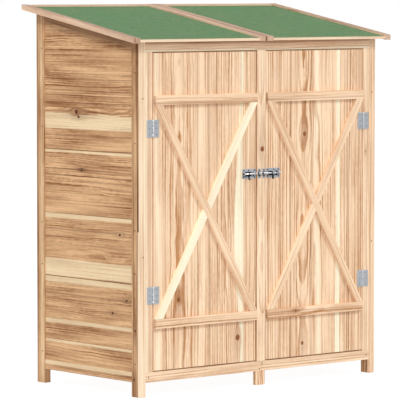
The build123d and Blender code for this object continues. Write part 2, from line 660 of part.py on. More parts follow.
with BuildPart() as right_bolt_rod:
    with BuildSketch(Plane.YZ.offset(TIP)):
        with Locations((ROD_Y, BOLT_Z)):
            Circle(ROD_R)
    extrude(amount=96.0 - TIP)
    with BuildSketch(Plane.XZ.offset(-ROD_Y)):
        with Locations((KNOB_RIGHT, BOLT_Z - HANDLE_DROP)):
            Circle(2.6)
    extrude(amount=12.0)
    with BuildSketch(Plane.XZ.offset(-ROD_Y)):
        with Locations((KNOB_RIGHT, BOLT_Z + 5.0)):
            Rectangle(5.2, 7.6 + HANDLE_DROP, align=(Align.CENTER, Align.MAX))
    extrude(amount=3.4)
right_bolt_rod.part.label = "right_bolt_rod"
export_step(right_bolt_rod.part, "parts/right_bolt_rod.step")

KEEPER_T = 1.2
with BuildPart() as bolt_keepers:
    for x0, length in KEEPERS:
        with BuildSketch(Plane.YZ.offset(x0)):
            with Locations((Y_FRONT - COVER_T, BOLT_Z)):
                Rectangle(KEEPER_T, PLATE_H, align=(Align.MAX, Align.CENTER))
            with Locations((ROD_Y, BOLT_Z)):
                Circle(STRAP_R + 0.3)
            with Locations((Y_FRONT - COVER_T - KEEPER_T, BOLT_Z)):
                Rectangle(Y_FRONT - COVER_T - KEEPER_T - ROD_Y, 2 * STRAP_R + 0.6, align=(Align.MAX, Align.CENTER))
            with Locations((Y_FRONT - COVER_T, BOLT_Z)):
                Rectangle(40, 60, align=(Align.MIN, Align.CENTER), mode=Mode.SUBTRACT)
            with Locations((ROD_Y, BOLT_Z)):
                Circle(ROD_R + 0.5, mode=Mode.SUBTRACT)
        extrude(amount=length)
bolt_keepers.part.label = "bolt_keepers"
export_step(bolt_keepers.part, "parts/bolt_keepers.step")
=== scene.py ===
import math
import random

import bmesh
import bpy
import numpy as np
from mathutils import Matrix, Vector


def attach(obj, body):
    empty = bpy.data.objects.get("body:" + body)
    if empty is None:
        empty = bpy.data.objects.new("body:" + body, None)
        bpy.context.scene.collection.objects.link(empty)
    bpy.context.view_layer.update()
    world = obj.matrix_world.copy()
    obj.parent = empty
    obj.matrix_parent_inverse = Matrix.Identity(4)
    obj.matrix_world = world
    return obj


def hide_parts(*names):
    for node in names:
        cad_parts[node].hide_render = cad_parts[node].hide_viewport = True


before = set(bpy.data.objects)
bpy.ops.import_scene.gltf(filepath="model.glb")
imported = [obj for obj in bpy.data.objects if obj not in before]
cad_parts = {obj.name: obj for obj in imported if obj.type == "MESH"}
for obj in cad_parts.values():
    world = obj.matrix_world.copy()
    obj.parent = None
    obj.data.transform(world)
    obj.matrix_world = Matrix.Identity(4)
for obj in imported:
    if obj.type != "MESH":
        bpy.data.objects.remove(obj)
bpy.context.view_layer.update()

# Looks of a small wooden tool shed: every board, batten, hinge and bolt as its own shape.
# Lengths below are in millimetres, in the shared frame, and become metres when a mesh is made.

# ------------------------------------------------------------------ sizes, as in the frame
HALF_W, Y_FRONT, Y_BACK = 640.0, -331.0, 339.0
ROOF_HALF_W, ROOF_Y0, ROOF_Y1 = 695.0, -367.0, 367.0
ROOF_Z0, SLOPE = 1430.5, 0.1753
LEG, RAIL_H = 58.0, 40.0
RAIL_TOP = LEG + RAIL_H
POST_W, POST_T, STILE_W, STILE_T = 31.0, 11.5, 38.0, 30.0
FRAME_T, LIP, GAP, GAP_Z0 = 15.0, 5.0, 6.0, 660.0
CENTER_W, CENTER_T, COVER_T = 46.0, 21.0, 4.0
BOARD_T, BOARD_IN, DOOR_T, DOOR_GAP = 12.0, 5.0, 10.0, 5.0
JAMB_W, HEAD_Z, TOP_RAIL_H = 36.0, 1375.0, 36.0
LEDGE_H, LEDGE_T, UPPER_LEDGE_Z, LOWER_LEDGE_Z, BRACE_X = 38.0, 13.0, 1163.0, 271.0, 37.0
VERGE_W, VERGE_H, DECK_DOWN, DECK_T, FELT_T, BATTEN_W = 31.0, 21.5, 9.2, 10.0, 2.0, 37.0
DECK_BOTTOM = DECK_DOWN + DECK_T
STILE_Y0 = Y_FRONT + POST_T
STILE_Y1 = STILE_Y0 + STILE_W
BSTILE_Y1 = Y_BACK - POST_T
BSTILE_Y0 = BSTILE_Y1 - STILE_W
JAMB_X0 = HALF_W - POST_W
JAMB_X1 = JAMB_X0 - JAMB_W
DOOR_X1 = JAMB_X1 - DOOR_GAP
DOOR_X0 = CENTER_W / 2 + DOOR_GAP
DOOR_Z0, DOOR_Z1 = RAIL_TOP + DOOR_GAP, HEAD_Z - DOOR_GAP
HINGE_X, HINGE_Y, HINGE_H = 570.5, -333.6, 70.0
UPPER_HINGE_Z, LOWER_HINGE_Z = 1070.0, 405.0
LEAF_T, LEAF_REACH, KNUCKLE_R = 1.8, 31.0, 3.3
BOLT_Z, ROD_R, ROD_Y = 871.0, 3.5, Y_FRONT - 9.4
PLATE_T, PLATE_H, PLATE_X0, PLATE_X1 = 1.6, 40.0, 29.0, 101.0
LEDGE_X0, LEDGE_L1, LEDGE_R1 = DOOR_X0, 565.0, 561.0
PANEL_X0, PANEL_X1 = 1.0 + BATTEN_W, ROOF_HALF_W - VERGE_W
EDGE_F, EDGE_B = 10.0, 15.0
BACK_HEAD_DOWN = DECK_BOTTOM + 45.0
BOARD_PITCH = 86.8


def roof_z(y, down=0.0):
    return ROOF_Z0 + SLOPE * (y - ROOF_Y0) - down


def lin(r, g, b):
    """an 8-bit screen colour as linear values"""
    out = []
    for c in (r, g, b):
        c /= 255.0
        out.append(c / 12.92 if c <= 0.04045 else ((c + 0.055) / 1.055) ** 2.4)
    return out


# ------------------------------------------------------------------ node arithmetic
class Net:
    """Writes shader maths as ordinary expressions."""

    def __init__(self, tree):
        self.tree = tree
        self.count = 0

    def node(self, kind, **props):
        n = self.tree.nodes.new(kind)
        n.location = (-1800 + (self.count % 30) * 170, 900 - (self.count // 30) * 180)
        self.count += 1
        for k, v in props.items():
            setattr(n, k, v)
        return n

    def put(self, socket, value):
        if isinstance(value, Sock):
            self.tree.links.new(value.s, socket)
        elif isinstance(value, (tuple, list)) and len(value) == 3 and socket.type == "RGBA":
            socket.default_value = (*value, 1.0)
        else:
            socket.default_value = value

    def math(self, op, *args, clamp=False):
        n = self.node("ShaderNodeMath", operation=op, use_clamp=clamp)
        for i, a in enumerate(args):
            self.put(n.inputs[i], a)
        return Sock(self, n.outputs[0])

    def attribute(self, name):
        n = self.node("ShaderNodeAttribute", attribute_name=name)
        return n

    def vec(self, name):
        """the three parts of a vector attribute"""
        a = self.attribute(name)
        s = self.node("ShaderNodeSeparateXYZ")
        self.tree.links.new(a.outputs["Vector"], s.inputs[0])
        return [Sock(self, s.outputs[i]) for i in range(3)]

    def combine(self, x, y, z):
        n = self.node("ShaderNodeCombineXYZ")
        for i, a in enumerate((x, y, z)):
            self.put(n.inputs[i], a)
        return Sock(self, n.outputs[0])

    def noise(self, vector, scale=1.0, detail=2.0, rough=0.5):
        n = self.node("ShaderNodeTexNoise", noise_dimensions="3D")
        self.put(n.inputs["Vector"], vector)
        n.inputs["Scale"].default_value = scale
        n.inputs["Detail"].default_value = detail
        n.inputs["Roughness"].default_value = rough
        return Sock(self, n.outputs["Fac"])

    def white(self, vector):
        n = self.node("ShaderNodeTexWhiteNoise", noise_dimensions="3D")
        self.put(n.inputs["Vector"], vector)
        return Sock(self, n.outputs["Value"])

    def cells(self, vector, scale, feature="F1", out="Distance", rand=1.0):
        n = self.node("ShaderNodeTexVoronoi", voronoi_dimensions="3D", feature=feature)
        self.put(n.inputs["Vector"], vector)
        n.inputs["Scale"].default_value = scale
        n.inputs["Randomness"].default_value = rand
        return Sock(self, n.outputs[out])

    def smooth(self, x, a, b):
        """0 below a, 1 above b, smooth between; a may be above b"""
        n = self.node("ShaderNodeMapRange", interpolation_type="SMOOTHSTEP", clamp=True)
        self.put(n.inputs["Value"], x)
        flip = (not isinstance(a, Sock)) and (not isinstance(b, Sock)) and a > b
        lo, hi = (b, a) if flip else (a, b)
        self.put(n.inputs["From Min"], lo)
        self.put(n.inputs["From Max"], hi)
        n.inputs["To Min"].default_value = 1.0 if flip else 0.0
        n.inputs["To Max"].default_value = 0.0 if flip else 1.0
        return Sock(self, n.outputs["Result"])

    def mix(self, fac, a, b, blend="MIX"):
        n = self.node("ShaderNodeMix", data_type="RGBA", blend_type=blend, clamp_factor=True)
        self.put(n.inputs[0], fac)
        self.put(n.inputs[6], a)
        self.put(n.inputs[7], b)
        return Sock(self, n.outputs[2])

    def scale_colour(self, colour, k):
        n = self.node("ShaderNodeVectorMath", operation="SCALE")
        self.put(n.inputs[0], colour)
        self.put(n.inputs[3], k)
        return Sock(self, n.outputs[0])


class Sock:
    def __init__(self, net, s):
        self.net, self.s = net, s

    def __add__(self, o):
        return self.net.math("ADD", self, o)

    __radd__ = __add__

    def __sub__(self, o):
        return self.net.math("SUBTRACT", self, o)

    def __rsub__(self, o):
        return self.net.math("SUBTRACT", o, self)

    def __mul__(self, o):
        return self.net.math("MULTIPLY", self, o)

    __rmul__ = __mul__

    def __truediv__(self, o):
        return self.net.math("DIVIDE", self, o)

    def __rtruediv__(self, o):
        return self.net.math("DIVIDE", o, self)

    def __pow__(self, o):
        return self.net.math("POWER", self, o)

    def __neg__(self):
        return self.net.math("MULTIPLY", self, -1.0)

    def abs(self):
        return self.net.math("ABSOLUTE", self)

    def sqrt(self):
        return self.net.math("SQRT", self)

    def frac(self):
        return self.net.math("FRACT", self)

    def floor(self):
        return self.net.math("FLOOR", self)

    def exp(self):
        return self.net.math("EXPONENT", self)

    def min(self, o):
        return self.net.math("MINIMUM", self, o)

    def max(self, o):
        return self.net.math("MAXIMUM", self, o)

    def clamp(self):
        return self.net.math("ADD", self, 0.0, clamp=True)


# ------------------------------------------------------------------ materials
def new_material(name):
    m = bpy.data.materials.new(name)
    m.use_nodes = True
    t = m.node_tree
    t.nodes.clear()
    out = t.nodes.new("ShaderNodeOutputMaterial")
    bsdf = t.nodes.new("ShaderNodeBsdfPrincipled")
    out.location, bsdf.location = (1600, 0), (1300, 0)
    t.links.new(bsdf.outputs[0], out.inputs[0])
    return m, t, bsdf, Net(t)


def wood_material(name, early, late, cream, deep, ring_dark=1.0, bump=0.5, upward_tint=None, depth=1.0, spacing=1.0, calm=1.0, ground=0.12):
    """Softwood. Each board carries its own grain frame and figure as attributes, in metres:
    gco (along, across, through), gpith (where its growth rings are centred, and their tilt),
    gsap (sapwood stripe: its two edges and a bulge), gsap2 (bulge place and length, strength), gln and glw (three heavy rings and their
    strength), gkn and gkn2 (knots: along, across, radius), gtint (lightness, redness, paleness),
    grnd (seed, ring density, contrast), endgrain (1 on a sawn end)."""
    m, t, bsdf, n = new_material(name)
    u, v, w = n.vec("gco")
    pv, pw, tilt = n.vec("gpith")
    sap_a, sap_b, sap_bulge = n.vec("gsap")
    sap_u, sap_len, sap_on = n.vec("gsap2")
    l1, l2, l3 = n.vec("gln")
    w1, w2, w3 = n.vec("glw")
    light, red, pale = n.vec("gtint")
    seed, density, contrast = n.vec("grnd")
    end = Sock(n, n.attribute("endgrain").outputs["Fac"])
    knots = [n.vec("gkn"), n.vec("gkn2")]

    # slow wander of the fibres, along and across the board
    drift = n.noise(n.combine(u * 1.5 + seed * 31.0, v * 9.0, w * 6.0 + seed * 7.0), 1.0, 2.0, 0.5)
    sway = n.noise(n.combine(u * 0.9 + seed * 13.0, v * 2.5 + seed * 3.0, 0.7), 1.0, 1.0, 0.5)
    y = v + (drift - 0.5) * 0.009 + (sway - 0.5) * 0.020
    knot_mask = None
    halo = None
    for ku, kv, kr in knots:
        a = (u - ku) * 0.42
        b = v - kv
        q = a * a + b * b + 1e-8
        rr = kr * kr
        y = y - b * (rr * 1.4 / q).min(0.95)
        wob = n.noise(n.combine(u * 60.0, v * 60.0, seed * 9.0), 1.0, 2.0, 0.5) - 0.5
        d = ((u - ku) * (u - ku) * 0.8 + b * b + 1e-9).sqrt() + wob * 0.004
        inside = n.smooth(d / (kr + 1e-5), 1.05, 0.72)
        glow = ((-1.0) * ((u - ku) * (u - ku) * 0.10 + b * b * 1.3) / (rr * 5.0 + 1e-8)).exp() * n.smooth(kr, 0.0005, 0.002)
        inside = inside * n.smooth(kr, 0.0005, 0.002)
        tail = ((-1.0) * (b * b * 13.0 / (rr + 1e-8) + (u - ku) * (u - ku) / (rr * 300.0 + 1e-8))).exp() * n.smooth(kr, 0.0005, 0.002)
        glow = (glow * 0.62).max(tail * 0.80)
        knot_mask = inside if knot_mask is None else knot_mask.max(inside)
        halo = glow if halo is None else halo.max(glow)

    # growth rings as shells round a wandering pith
    wander = n.noise(n.combine(u * 3.4 + seed * 17.0, v * 3.0, seed * 5.0), 1.0, 2.5, 0.55) - 0.5
    dv = y - pv
    dw = w - pw - tilt * u - wander * 0.036
    rho = (dv * dv + dw * dw + 1e-8).sqrt()
    uneven = n.noise(n.combine(rho * 42.0, seed * 11.0, 0.3), 1.0, 1.5, 0.6)
    phase = (rho * density + (uneven - 0.5) * 3.0) * (1.0 / spacing)
    f = phase.frac()
    ring_id = phase.floor()
    heavy = n.white(n.combine(ring_id, seed * 19.0, 0.5))
    late_part = n.smooth(f, 0.42, 0.88) * n.smooth(f, 1.0, 0.93)
    late_part = late_part * (heavy * 0.90 + 0.15)
    # fine lines inside the rings, and streaks that come and go along the board
    fine = n.noise(n.combine(u * 9.0 + seed * 5.0, y * 520.0, w * 520.0), 1.0, 2.0, 0.65)
    streak = n.noise(n.combine(u * 1.5 + seed * 2.0, y * 118.0, w * 60.0 + seed), 1.0, 1.0, 0.5)
    thread = n.noise(n.combine(u * 3.4 + seed * 29.0, y * 190.0, w * 90.0 + seed), 1.0, 1.0, 0.5)
    patch = n.smooth(n.noise(n.combine(u * 2.4 + seed * 37.0, v * 16.0, seed), 1.0, 1.5, 0.5), 0.36, 0.66)
    broad = n.noise(n.combine(u * 2.6 + seed * 23.0, y * 24.0, w * 10.0), 1.0, 2.0, 0.5)
    mottle = n.noise(n.combine(u * 34.0 + seed * 3.0, y * 95.0, w * 40.0), 1.0, 3.0, 0.6)

    # heavy single rings
    lines = None
    for pos, strength in ((l1, w1), (l2, w2), (l3, w3)):
        one = n.smooth((y - pos).abs() + (streak - 0.5) * 0.0026, 0.0036, 0.0008) * strength
        one = one * (0.45 + broad * 1.0)
        lines = one if lines is None else lines.max(one)

    # sapwood between two edges that follow the rings, one of them with a bulge
    ub = (u - sap_u) / (sap_len + 1e-4)
    bulge = (ub * ub * -1.0).exp() * sap_bulge
    edge = (drift - 0.5) * 0.007 + (late_part - 0.3) * 0.003 + (streak - 0.5) * 0.003
    sap = n.smooth(y + edge - (sap_a - bulge), -0.0012, 0.0012) * n.smooth(sap_b - y - edge, -0.0012, 0.0012) * sap_on
    paleness = (sap + pale).clamp()

    dark = (late_part * ring_dark * 1.48 + ((streak - 0.5) * 1.08 + (thread - 0.5) * 1.9) * calm + (mottle - 0.5) * 0.95) * contrast * (0.43 + patch * 0.68)
    dark = (dark + (broad - 0.5) * 0.95 * depth + red * 0.5 + ground).clamp()
    dark = dark * (1.0 - paleness * 0.78)
    base = n.mix(dark, early, late)
    base = n.mix(paleness * 0.94, base, n.mix(dark * 1.6, cream, late))
    base = n.mix((lines * (1.0 - paleness * 0.7)).clamp(), base, deep)
    base = n.mix((halo * 0.62).clamp(), base, deep)
    knot_ring = n.noise(n.combine(u * 320.0, v * 320.0, seed), 1.0, 1.0, 0.5)
    knot_colour = n.mix(knot_ring, [c * 0.78 for c in deep], [c * 1.35 for c in deep])
    base = n.mix(knot_mask, base, knot_colour)
    # upward-facing faces are multiplied by a greyer colour
    if upward_tint:
        geo = n.node("ShaderNodeNewGeometry")
        parts = n.node("ShaderNodeSeparateXYZ")
        t.links.new(geo.outputs["True Normal"], parts.inputs[0])
        up = n.smooth(Sock(n, parts.outputs[2]), 0.55, 0.90)
        base = n.mix(up * (0.75 + (streak - 0.5) * 0.5), base, n.mix(1.0, base, upward_tint, "MULTIPLY"))
    base = n.scale_colour(base, light * (1.0 - end * 0.20) * (0.955 + fine * 0.09))
    n.put(bsdf.inputs["Base Color"], base)
    n.put(bsdf.inputs["Roughness"], 0.50 + late_part * 0.10 + fine * 0.12)
    bsdf.inputs["Specular IOR Level"].default_value = 0.28
    height = fine * 0.00010 + late_part * 0.00016 * (1.0 - paleness * 0.5) - lines * 0.00012 + end * streak * 0.0003 - knot_mask * 0.0002
    bn = n.node("ShaderNodeBump")
    bn.inputs["Strength"].default_value = bump
    bn.inputs["Distance"].default_value = 1.0
    n.put(bn.inputs["Height"], height)
    t.links.new(bn.outputs[0], bsdf.inputs["Normal"])
    return m


def felt_material():
    m, t, bsdf, n = new_material("mineral_felt")
    tc = n.node("ShaderNodeTexCoord")
    p = Sock(n, tc.outputs["Object"])
    grit = n.cells(p, 620.0, "F1", "Color")
    sep = n.node("ShaderNodeSeparateXYZ")
    t.links.new(grit.s, sep.inputs[0])
    g = Sock(n, sep.outputs[0])
    shape = n.cells(p, 620.0, "F1", "Distance")
    mottle = n.noise(p, 26.0, 3.0, 0.6)
    cloud = n.noise(p, 4.5, 2.0, 0.5)
    grain = n.noise(p, 210.0, 2.0, 0.6)
    c = n.mix(g, lin(62, 100, 60), lin(104, 144, 98))
    c = n.mix(n.smooth(g, 0.93, 0.97), c, lin(158, 172, 128))
    c = n.mix(n.smooth(g, 0.10, 0.05), c, lin(50, 78, 50))
    c = n.mix(n.smooth(mottle, 0.35, 0.68) * 0.5, c, lin(110, 130, 94))
    c = n.mix(n.smooth(cloud, 0.45, 0.75) * 0.30, c, lin(76, 130, 84))
    c = n.scale_colour(c, 0.40 + grain * 0.98)
    n.put(bsdf.inputs["Base Color"], c)
    bsdf.inputs["Roughness"].default_value = 0.92
    bsdf.inputs["Specular IOR Level"].default_value = 0.2
    bn = n.node("ShaderNodeBump")
    bn.inputs["Strength"].default_value = 0.7
    bn.inputs["Distance"].default_value = 1.0
    n.put(bn.inputs["Height"], (1.0 - shape) * 0.0006 + mottle * 0.0004)
    t.links.new(bn.outputs[0], bsdf.inputs["Normal"])
    return m


def steel_material(name, base, rough, worn=0.25):
    m, t, bsdf, n = new_material(name)
    tc = n.node("ShaderNodeTexCoord")
    p = Sock(n, tc.outputs["Object"])
    spangle = n.noise(p, 160.0, 3.0, 0.6)
    brush = n.node("ShaderNodeMapping")
    brush.inputs["Scale"].default_value = (1.0, 1.0, 0.04)
    t.links.new(p.s, brush.inputs["Vector"])
    lines = n.noise(Sock(n, brush.outputs[0]), 2600.0, 2.0, 0.6)
    c = n.mix(spangle, [x * (1.0 - worn) for x in base], base)
    n.put(bsdf.inputs["Base Color"], c)
    bsdf.inputs["Metallic"].default_value = 1.0
    n.put(bsdf.inputs["Roughness"], rough + lines * 0.14 + (spangle - 0.5) * 0.10)
    bn = n.node("ShaderNodeBump")
    bn.inputs["Strength"].default_value = 0.25
    bn.inputs["Distance"].default_value = 1.0
    n.put(bn.inputs["Height"], lines * 0.00006 + spangle * 0.00010)
    t.links.new(bn.outputs[0], bsdf.inputs["Normal"])
    return m


WOOD_FRONT = wood_material("softwood_front", lin(254, 222, 188), lin(188, 132, 84), lin(255, 247, 218), lin(138, 82, 42), spacing=1.3, ground=0.15)
# the stop wood is paler and warmer than the other timber as painted light, lifting the shade in the door gaps where it
# shows
WOOD_STOP_PAINTED_LIGHT = wood_material("softwood_stop_painted_light", lin(255, 208, 150), lin(214, 148, 90), lin(255, 250, 228), lin(150, 96, 60))
# the side timber is darker and redder than the front's, partly its own tone and partly painted shade of the walls
# turned from the key light
WOOD_SIDE = wood_material("softwood_side", lin(240, 194, 146), lin(144, 86, 42), lin(252, 226, 184), lin(96, 52, 26), 0.50, depth=1.75, spacing=0.95, calm=0.68, ground=0.25)
WOOD_ROOF = wood_material("softwood_roof", lin(238, 202, 172), lin(180, 132, 100), lin(252, 234, 200), lin(120, 70, 46), upward_tint=lin(166, 152, 142))
FELT = felt_material()
ZINC = steel_material("zinc_plate", lin(220, 225, 231), 0.46)
BARREL = steel_material("zinc_barrels", lin(226, 229, 233), 0.42, 0.05)
# near-black steel, used as painted shade on the bolt channels, the handles and the keeper slots
SHADE_STEEL = steel_material("painted_shade_steel", lin(40, 40, 44), 0.42, 0.5)
# the bolt and keeper screw heads are coloured dark as painted shade and painted dark reflection
SCREW = steel_material("screw_heads", lin(104, 106, 110), 0.35, 0.4)
HEADS = steel_material("plated_heads", lin(196, 199, 204), 0.38, 0.3)
BRIGHT = steel_material("bright_steel", lin(226, 228, 232), 0.20)
NAIL = steel_material("nail_heads", lin(92, 66, 48), 0.55, 0.5)
for extra in (ZINC, BARREL, BRIGHT, NAIL, SHADE_STEEL, SCREW, HEADS):
    extra.use_backface_culling = False


# ------------------------------------------------------------------ timber
class Timber:
    """Gathers the boards of one CAD node into one mesh with the grain attributes."""

    def __init__(self, nodes, body, slot, material, name=None):
        self.nodes = [nodes] if isinstance(nodes, str) else list(nodes)
        self.name = name or self.nodes[0] + "_timber"
        self.body, self.slot, self.material = body, slot, material
        self.verts, self.faces, self.attr, self.end = [], [], [], []
        self.rng = random.Random(self.name)

    def add(self, bottom, top, along, across, bevel=0.9, keep=None, figure=None, segments=2, origin=None):
        """One board from its bottom and top outline (lists of points). along and across are its
        grain axes. keep(edge_middle, direction) says which edges are rounded."""
        bm = bmesh.new()
        lo = [bm.verts.new(p) for p in bottom]
        hi = [bm.verts.new(p) for p in top]
        k = len(lo)
        bm.faces.new(lo[::-1])
        bm.faces.new(hi)
        for i in range(k):
            j = (i + 1) % k
            bm.faces.new((lo[i], lo[j], hi[j], hi[i]))
        bm.normal_update()
        bmesh.ops.recalc_face_normals(bm, faces=bm.faces)
        if bevel > 0:
            edges = [e for e in bm.edges if keep is None or keep((e.verts[0].co + e.verts[1].co) / 2, (e.verts[1].co - e.verts[0].co).normalized())]
            if edges:
                bmesh.ops.bevel(bm, geom=edges, offset=bevel, segments=segments, profile=0.6, affect="EDGES", clamp_overlap=True)
        bm.normal_update()
        along = Vector(along).normalized()
        across = Vector(across).normalized()
        normal = along.cross(across).normalized()
        pts = [Vector(p) for p in list(bottom) + list(top)]
        if origin is None:
            lo3 = Vector([min(p[i] for p in pts) for i in range(3)])
            hi3 = Vector([max(p[i] for p in pts) for i in range(3)])
            origin = (lo3 + hi3) / 2
        else:
            origin = Vector(origin)
        fig = self.figure(figure or {}, origin, along, across)
        base = len(self.verts)
        bm.verts.index_update()
        for vert in bm.verts:
            d = vert.co - origin
            self.verts.append(vert.co * 0.001)
            self.attr.append(([d.dot(along) * 0.001, d.dot(across) * 0.001, d.dot(normal) * 0.001], fig))
        for face in bm.faces:
            self.faces.append([base + x.index for x in face.verts])
            self.end.append(1.0 if abs(face.normal.dot(along)) > 0.72 else 0.0)
        bm.free()
        return self

    def figure(self, g, origin, along, across):
        """Grain figure of a board. Places may be given as world points in millimetres."""
        r = self.rng

        def place(p):
            if len(p) == 3:
                d = Vector(p) - origin
                return d.dot(along) * 0.001, d.dot(across) * 0.001
            return p[0] * 0.001, p[1] * 0.001

        kind = g.get("kind") or r.choice(["straight", "straight", "straight", "flame", "wide"])
        if kind == "straight":
            pith = (r.choice((-1, 1)) * r.uniform(0.10, 0.22), r.uniform(0.02, 0.10), r.uniform(-0.008, 0.008))
        elif kind == "flame":
            pith = (r.uniform(-0.012, 0.012), r.uniform(0.036, 0.06), r.choice((-1, 1)) * r.uniform(0.018, 0.035))
        else:
            pith = (r.choice((-1, 1)) * r.uniform(0.04, 0.09), r.uniform(0.02, 0.06), r.uniform(-0.02, 0.02))
        if "pith" in g:
            pith = tuple(x * 0.001 for x in g["pith"][:2]) + (g["pith"][2],)
        sap, sap2 = (0.0, 0.0, 0.0), (0.0, 1.0, 0.0)
        if "sap" in g:
            # two edges across the board, then strength, bulge, and the bulge's place and length
            a, b, on, amount, at, length = (tuple(g["sap"]) + (1.0, 0.0, 0.0, 1000.0)[len(g["sap"]) - 2:])[:6]
            sap, sap2 = (a * 0.001, b * 0.001, amount * 0.001), (at * 0.001, length * 0.001, on)
        lines = list(g.get("lines", ()))
        if not lines and r.random() < 0.6 and "lines" not in g:
            lines = [(r.uniform(-30, 30), r.uniform(0.15, 0.4)) for _ in range(r.choice((1, 2)))]
        lines = (lines + [(500.0, 0.0)] * 3)[:3]
        knots = [(*place(p), rad * 0.001) for p, rad in g.get("knots", ())]
        knots = (knots + [(9.0, 9.0, 0.0)] * 2)[:2]
        tint = g.get("tint", (1.0 + r.uniform(-0.05, 0.04), r.uniform(-0.10, 0.14), 0.0))
        density = g.get("density", r.uniform(95, 150))
        contrast = g.get("contrast", r.uniform(0.75, 1.05))
        return dict(
            gpith=pith, gsap=sap, gsap2=sap2, gln=tuple(x[0] * 0.001 for x in lines), glw=tuple(x[1] for x in lines),
            gkn=knots[0], gkn2=knots[1], gtint=tuple(tint), grnd=(r.random() * 3.0, density, contrast),
        )

    def box(self, x, y, z, along="z", across="x", **kw):
        ax = {"x": (1, 0, 0), "y": (0, 1, 0), "z": (0, 0, 1)}
        (x0, x1), (y0, y1), (z0, z1) = x, y, z
        lo = [(x0, y0, z0), (x1, y0, z0), (x1, y1, z0), (x0, y1, z0)]
        hi = [(a, b, z1) for a, b, _ in lo]
        return self.add(lo, hi, ax[along] if isinstance(along, str) else along, ax[across] if isinstance(across, str) else across, **kw)

    def finish(self):
        me = bpy.data.meshes.new(self.name)
        me.from_pydata([tuple(v) for v in self.verts], [], self.faces)
        me.update()
        a = me.attributes.new("gco", "FLOAT_VECTOR", "POINT")
        a.data.foreach_set("vector", np.array([c for c, _ in self.attr], np.float32).ravel())
        for key in ("gpith", "gsap", "gsap2", "gln", "glw", "gkn", "gkn2", "gtint", "grnd"):
            a = me.attributes.new(key, "FLOAT_VECTOR", "POINT")
            a.data.foreach_set("vector", np.array([f[key] for _, f in self.attr], np.float32).ravel())
        a = me.attributes.new("endgrain", "FLOAT", "FACE")
        a.data.foreach_set("value", np.array(self.end, np.float32))
        me.materials.append(self.material)
        o = bpy.data.objects.new(self.name, me)
        bpy.context.scene.collection.objects.link(o)
        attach(o, self.body)
        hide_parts(*self.nodes)
        return o


def clip(poly, a, b, c):
    """the part of a polygon where a*x + b*y <= c"""
    out = []
    for i, p in enumerate(poly):
        q = poly[(i + 1) % len(poly)]
        dp, dq = a * p[0] + b * p[1] - c, a * q[0] + b * q[1] - c
        if dp <= 0:
            out.append(p)
        if dp * dq < 0:
            s = dp / (dp - dq)
            out.append((p[0] + s * (q[0] - p[0]), p[1] + s * (q[1] - p[1])))
    return out


def front_figure(x0, x1, features):
    """features of a vertical board on the front given in millimetres of X and Z"""
    mid = (x0 + x1) / 2
    g = dict(features)
    if "lines" in g:
        g["lines"] = [(x - mid, s) for x, s in g["lines"]]
    if "sap" in g:
        a, b = g["sap"][:2]
        g["sap"] = (a - mid, b - mid, *g["sap"][2:])
    if "knots" in g:
        g["knots"] = [((x, Y_FRONT, z), rad) for x, z, rad in g["knots"]]
    return g


# ---- front frame -----------------------------------------------------------
for side, word in ((-1, "left"), (1, "right")):
    t = Timber(f"front_{word}_post", "shed_body", "wood_frame", WOOD_FRONT)
    s = side
    ell = [(s * 640, -331), (s * 609, -331), (s * 609, -319.5), (s * 634, -319.5), (s * 634, -326), (s * 640, -326)]
    corner = [(s * 640, -326), (s * 634, -326), (s * 634, -319.5), (s * 640, -319.5)]
    if side == 1:
        ell, corner = ell[::-1], corner[::-1]
    fig = dict(kind="straight", tint=(1.0, -0.06, 0.26) if side < 0 else (0.975, 0.0, 0.0), density=105, contrast=0.26,
               lines=[(-6 * side, 0.25), (9 * side, 0.2)])
    t.add([(x, y, 0) for x, y in ell], [(x, y, roof_z(y, DECK_BOTTOM)) for x, y in ell], (0, 0, 1), (1, 0, 0),
          bevel=0.9, keep=lambda mid, d, s=s: (abs(d.z) > 0.9 and mid.y < -330) or (abs(d.z) < 0.9 and mid.z < 1),
          figure=fig, origin=(s * 624.5, -325, 700))
    t.attr_fig = t.attr[-1][1]
    n0 = len(t.attr)
    t.add([(x, y, 0) for x, y in corner], [(x, y, GAP_Z0) for x, y in corner], (0, 0, 1), (1, 0, 0), bevel=0, origin=(s * 624.5, -325, 700))
    t.attr[n0:] = [(c, t.attr_fig) for c, _ in t.attr[n0:]]
    t.finish()

t = Timber("front_center_post", "shed_body", "wood_frame", WOOD_FRONT)
yb = Y_FRONT + FRAME_T
yc = Y_FRONT + CENTER_T
half = CENTER_W / 2
fig = dict(kind="straight", tint=(1.0, 0.0, 0.1))
t.box((-half, half), (Y_FRONT, yc), (0, LEG), figure=fig)
t.box((-half, half), (yb, yc), (LEG, RAIL_TOP), figure=fig, bevel=0)
t.box((-half, half), (Y_FRONT, yc), (RAIL_TOP, HEAD_Z), figure=fig, bevel=0.7)
lo = [(-half, yb, HEAD_Z), (half, yb, HEAD_Z), (half, yc, HEAD_Z), (-half, yc, HEAD_Z)]
t.add(lo, [(x, y, roof_z(y, DECK_BOTTOM)) for x, y, _ in lo], (0, 0, 1), (1, 0, 0), bevel=0, figure=fig)
t.finish()

t = Timber("center_cover_strip", "shed_body", "wood_frame", WOOD_FRONT)
t.box((-half, half), (Y_FRONT - COVER_T, Y_FRONT), (RAIL_TOP, HEAD_Z), bevel=1.0,
      figure=front_figure(-half, half, dict(kind="flame", pith=(2, 26, -0.03), tint=(1.02, -0.14, 0.16), density=120, contrast=0.42,
                                            knots=[(4, 970, 11.0)], lines=[(17, 0.30), (4, 0.30)])))
t.finish()

t = Timber("front_header", "shed_body", "wood_frame", WOOD_FRONT)
lo = [(-JAMB_X0, Y_FRONT, HEAD_Z), (JAMB_X0, Y_FRONT, HEAD_Z), (JAMB_X0, yb, HEAD_Z), (-JAMB_X0, yb, HEAD_Z)]
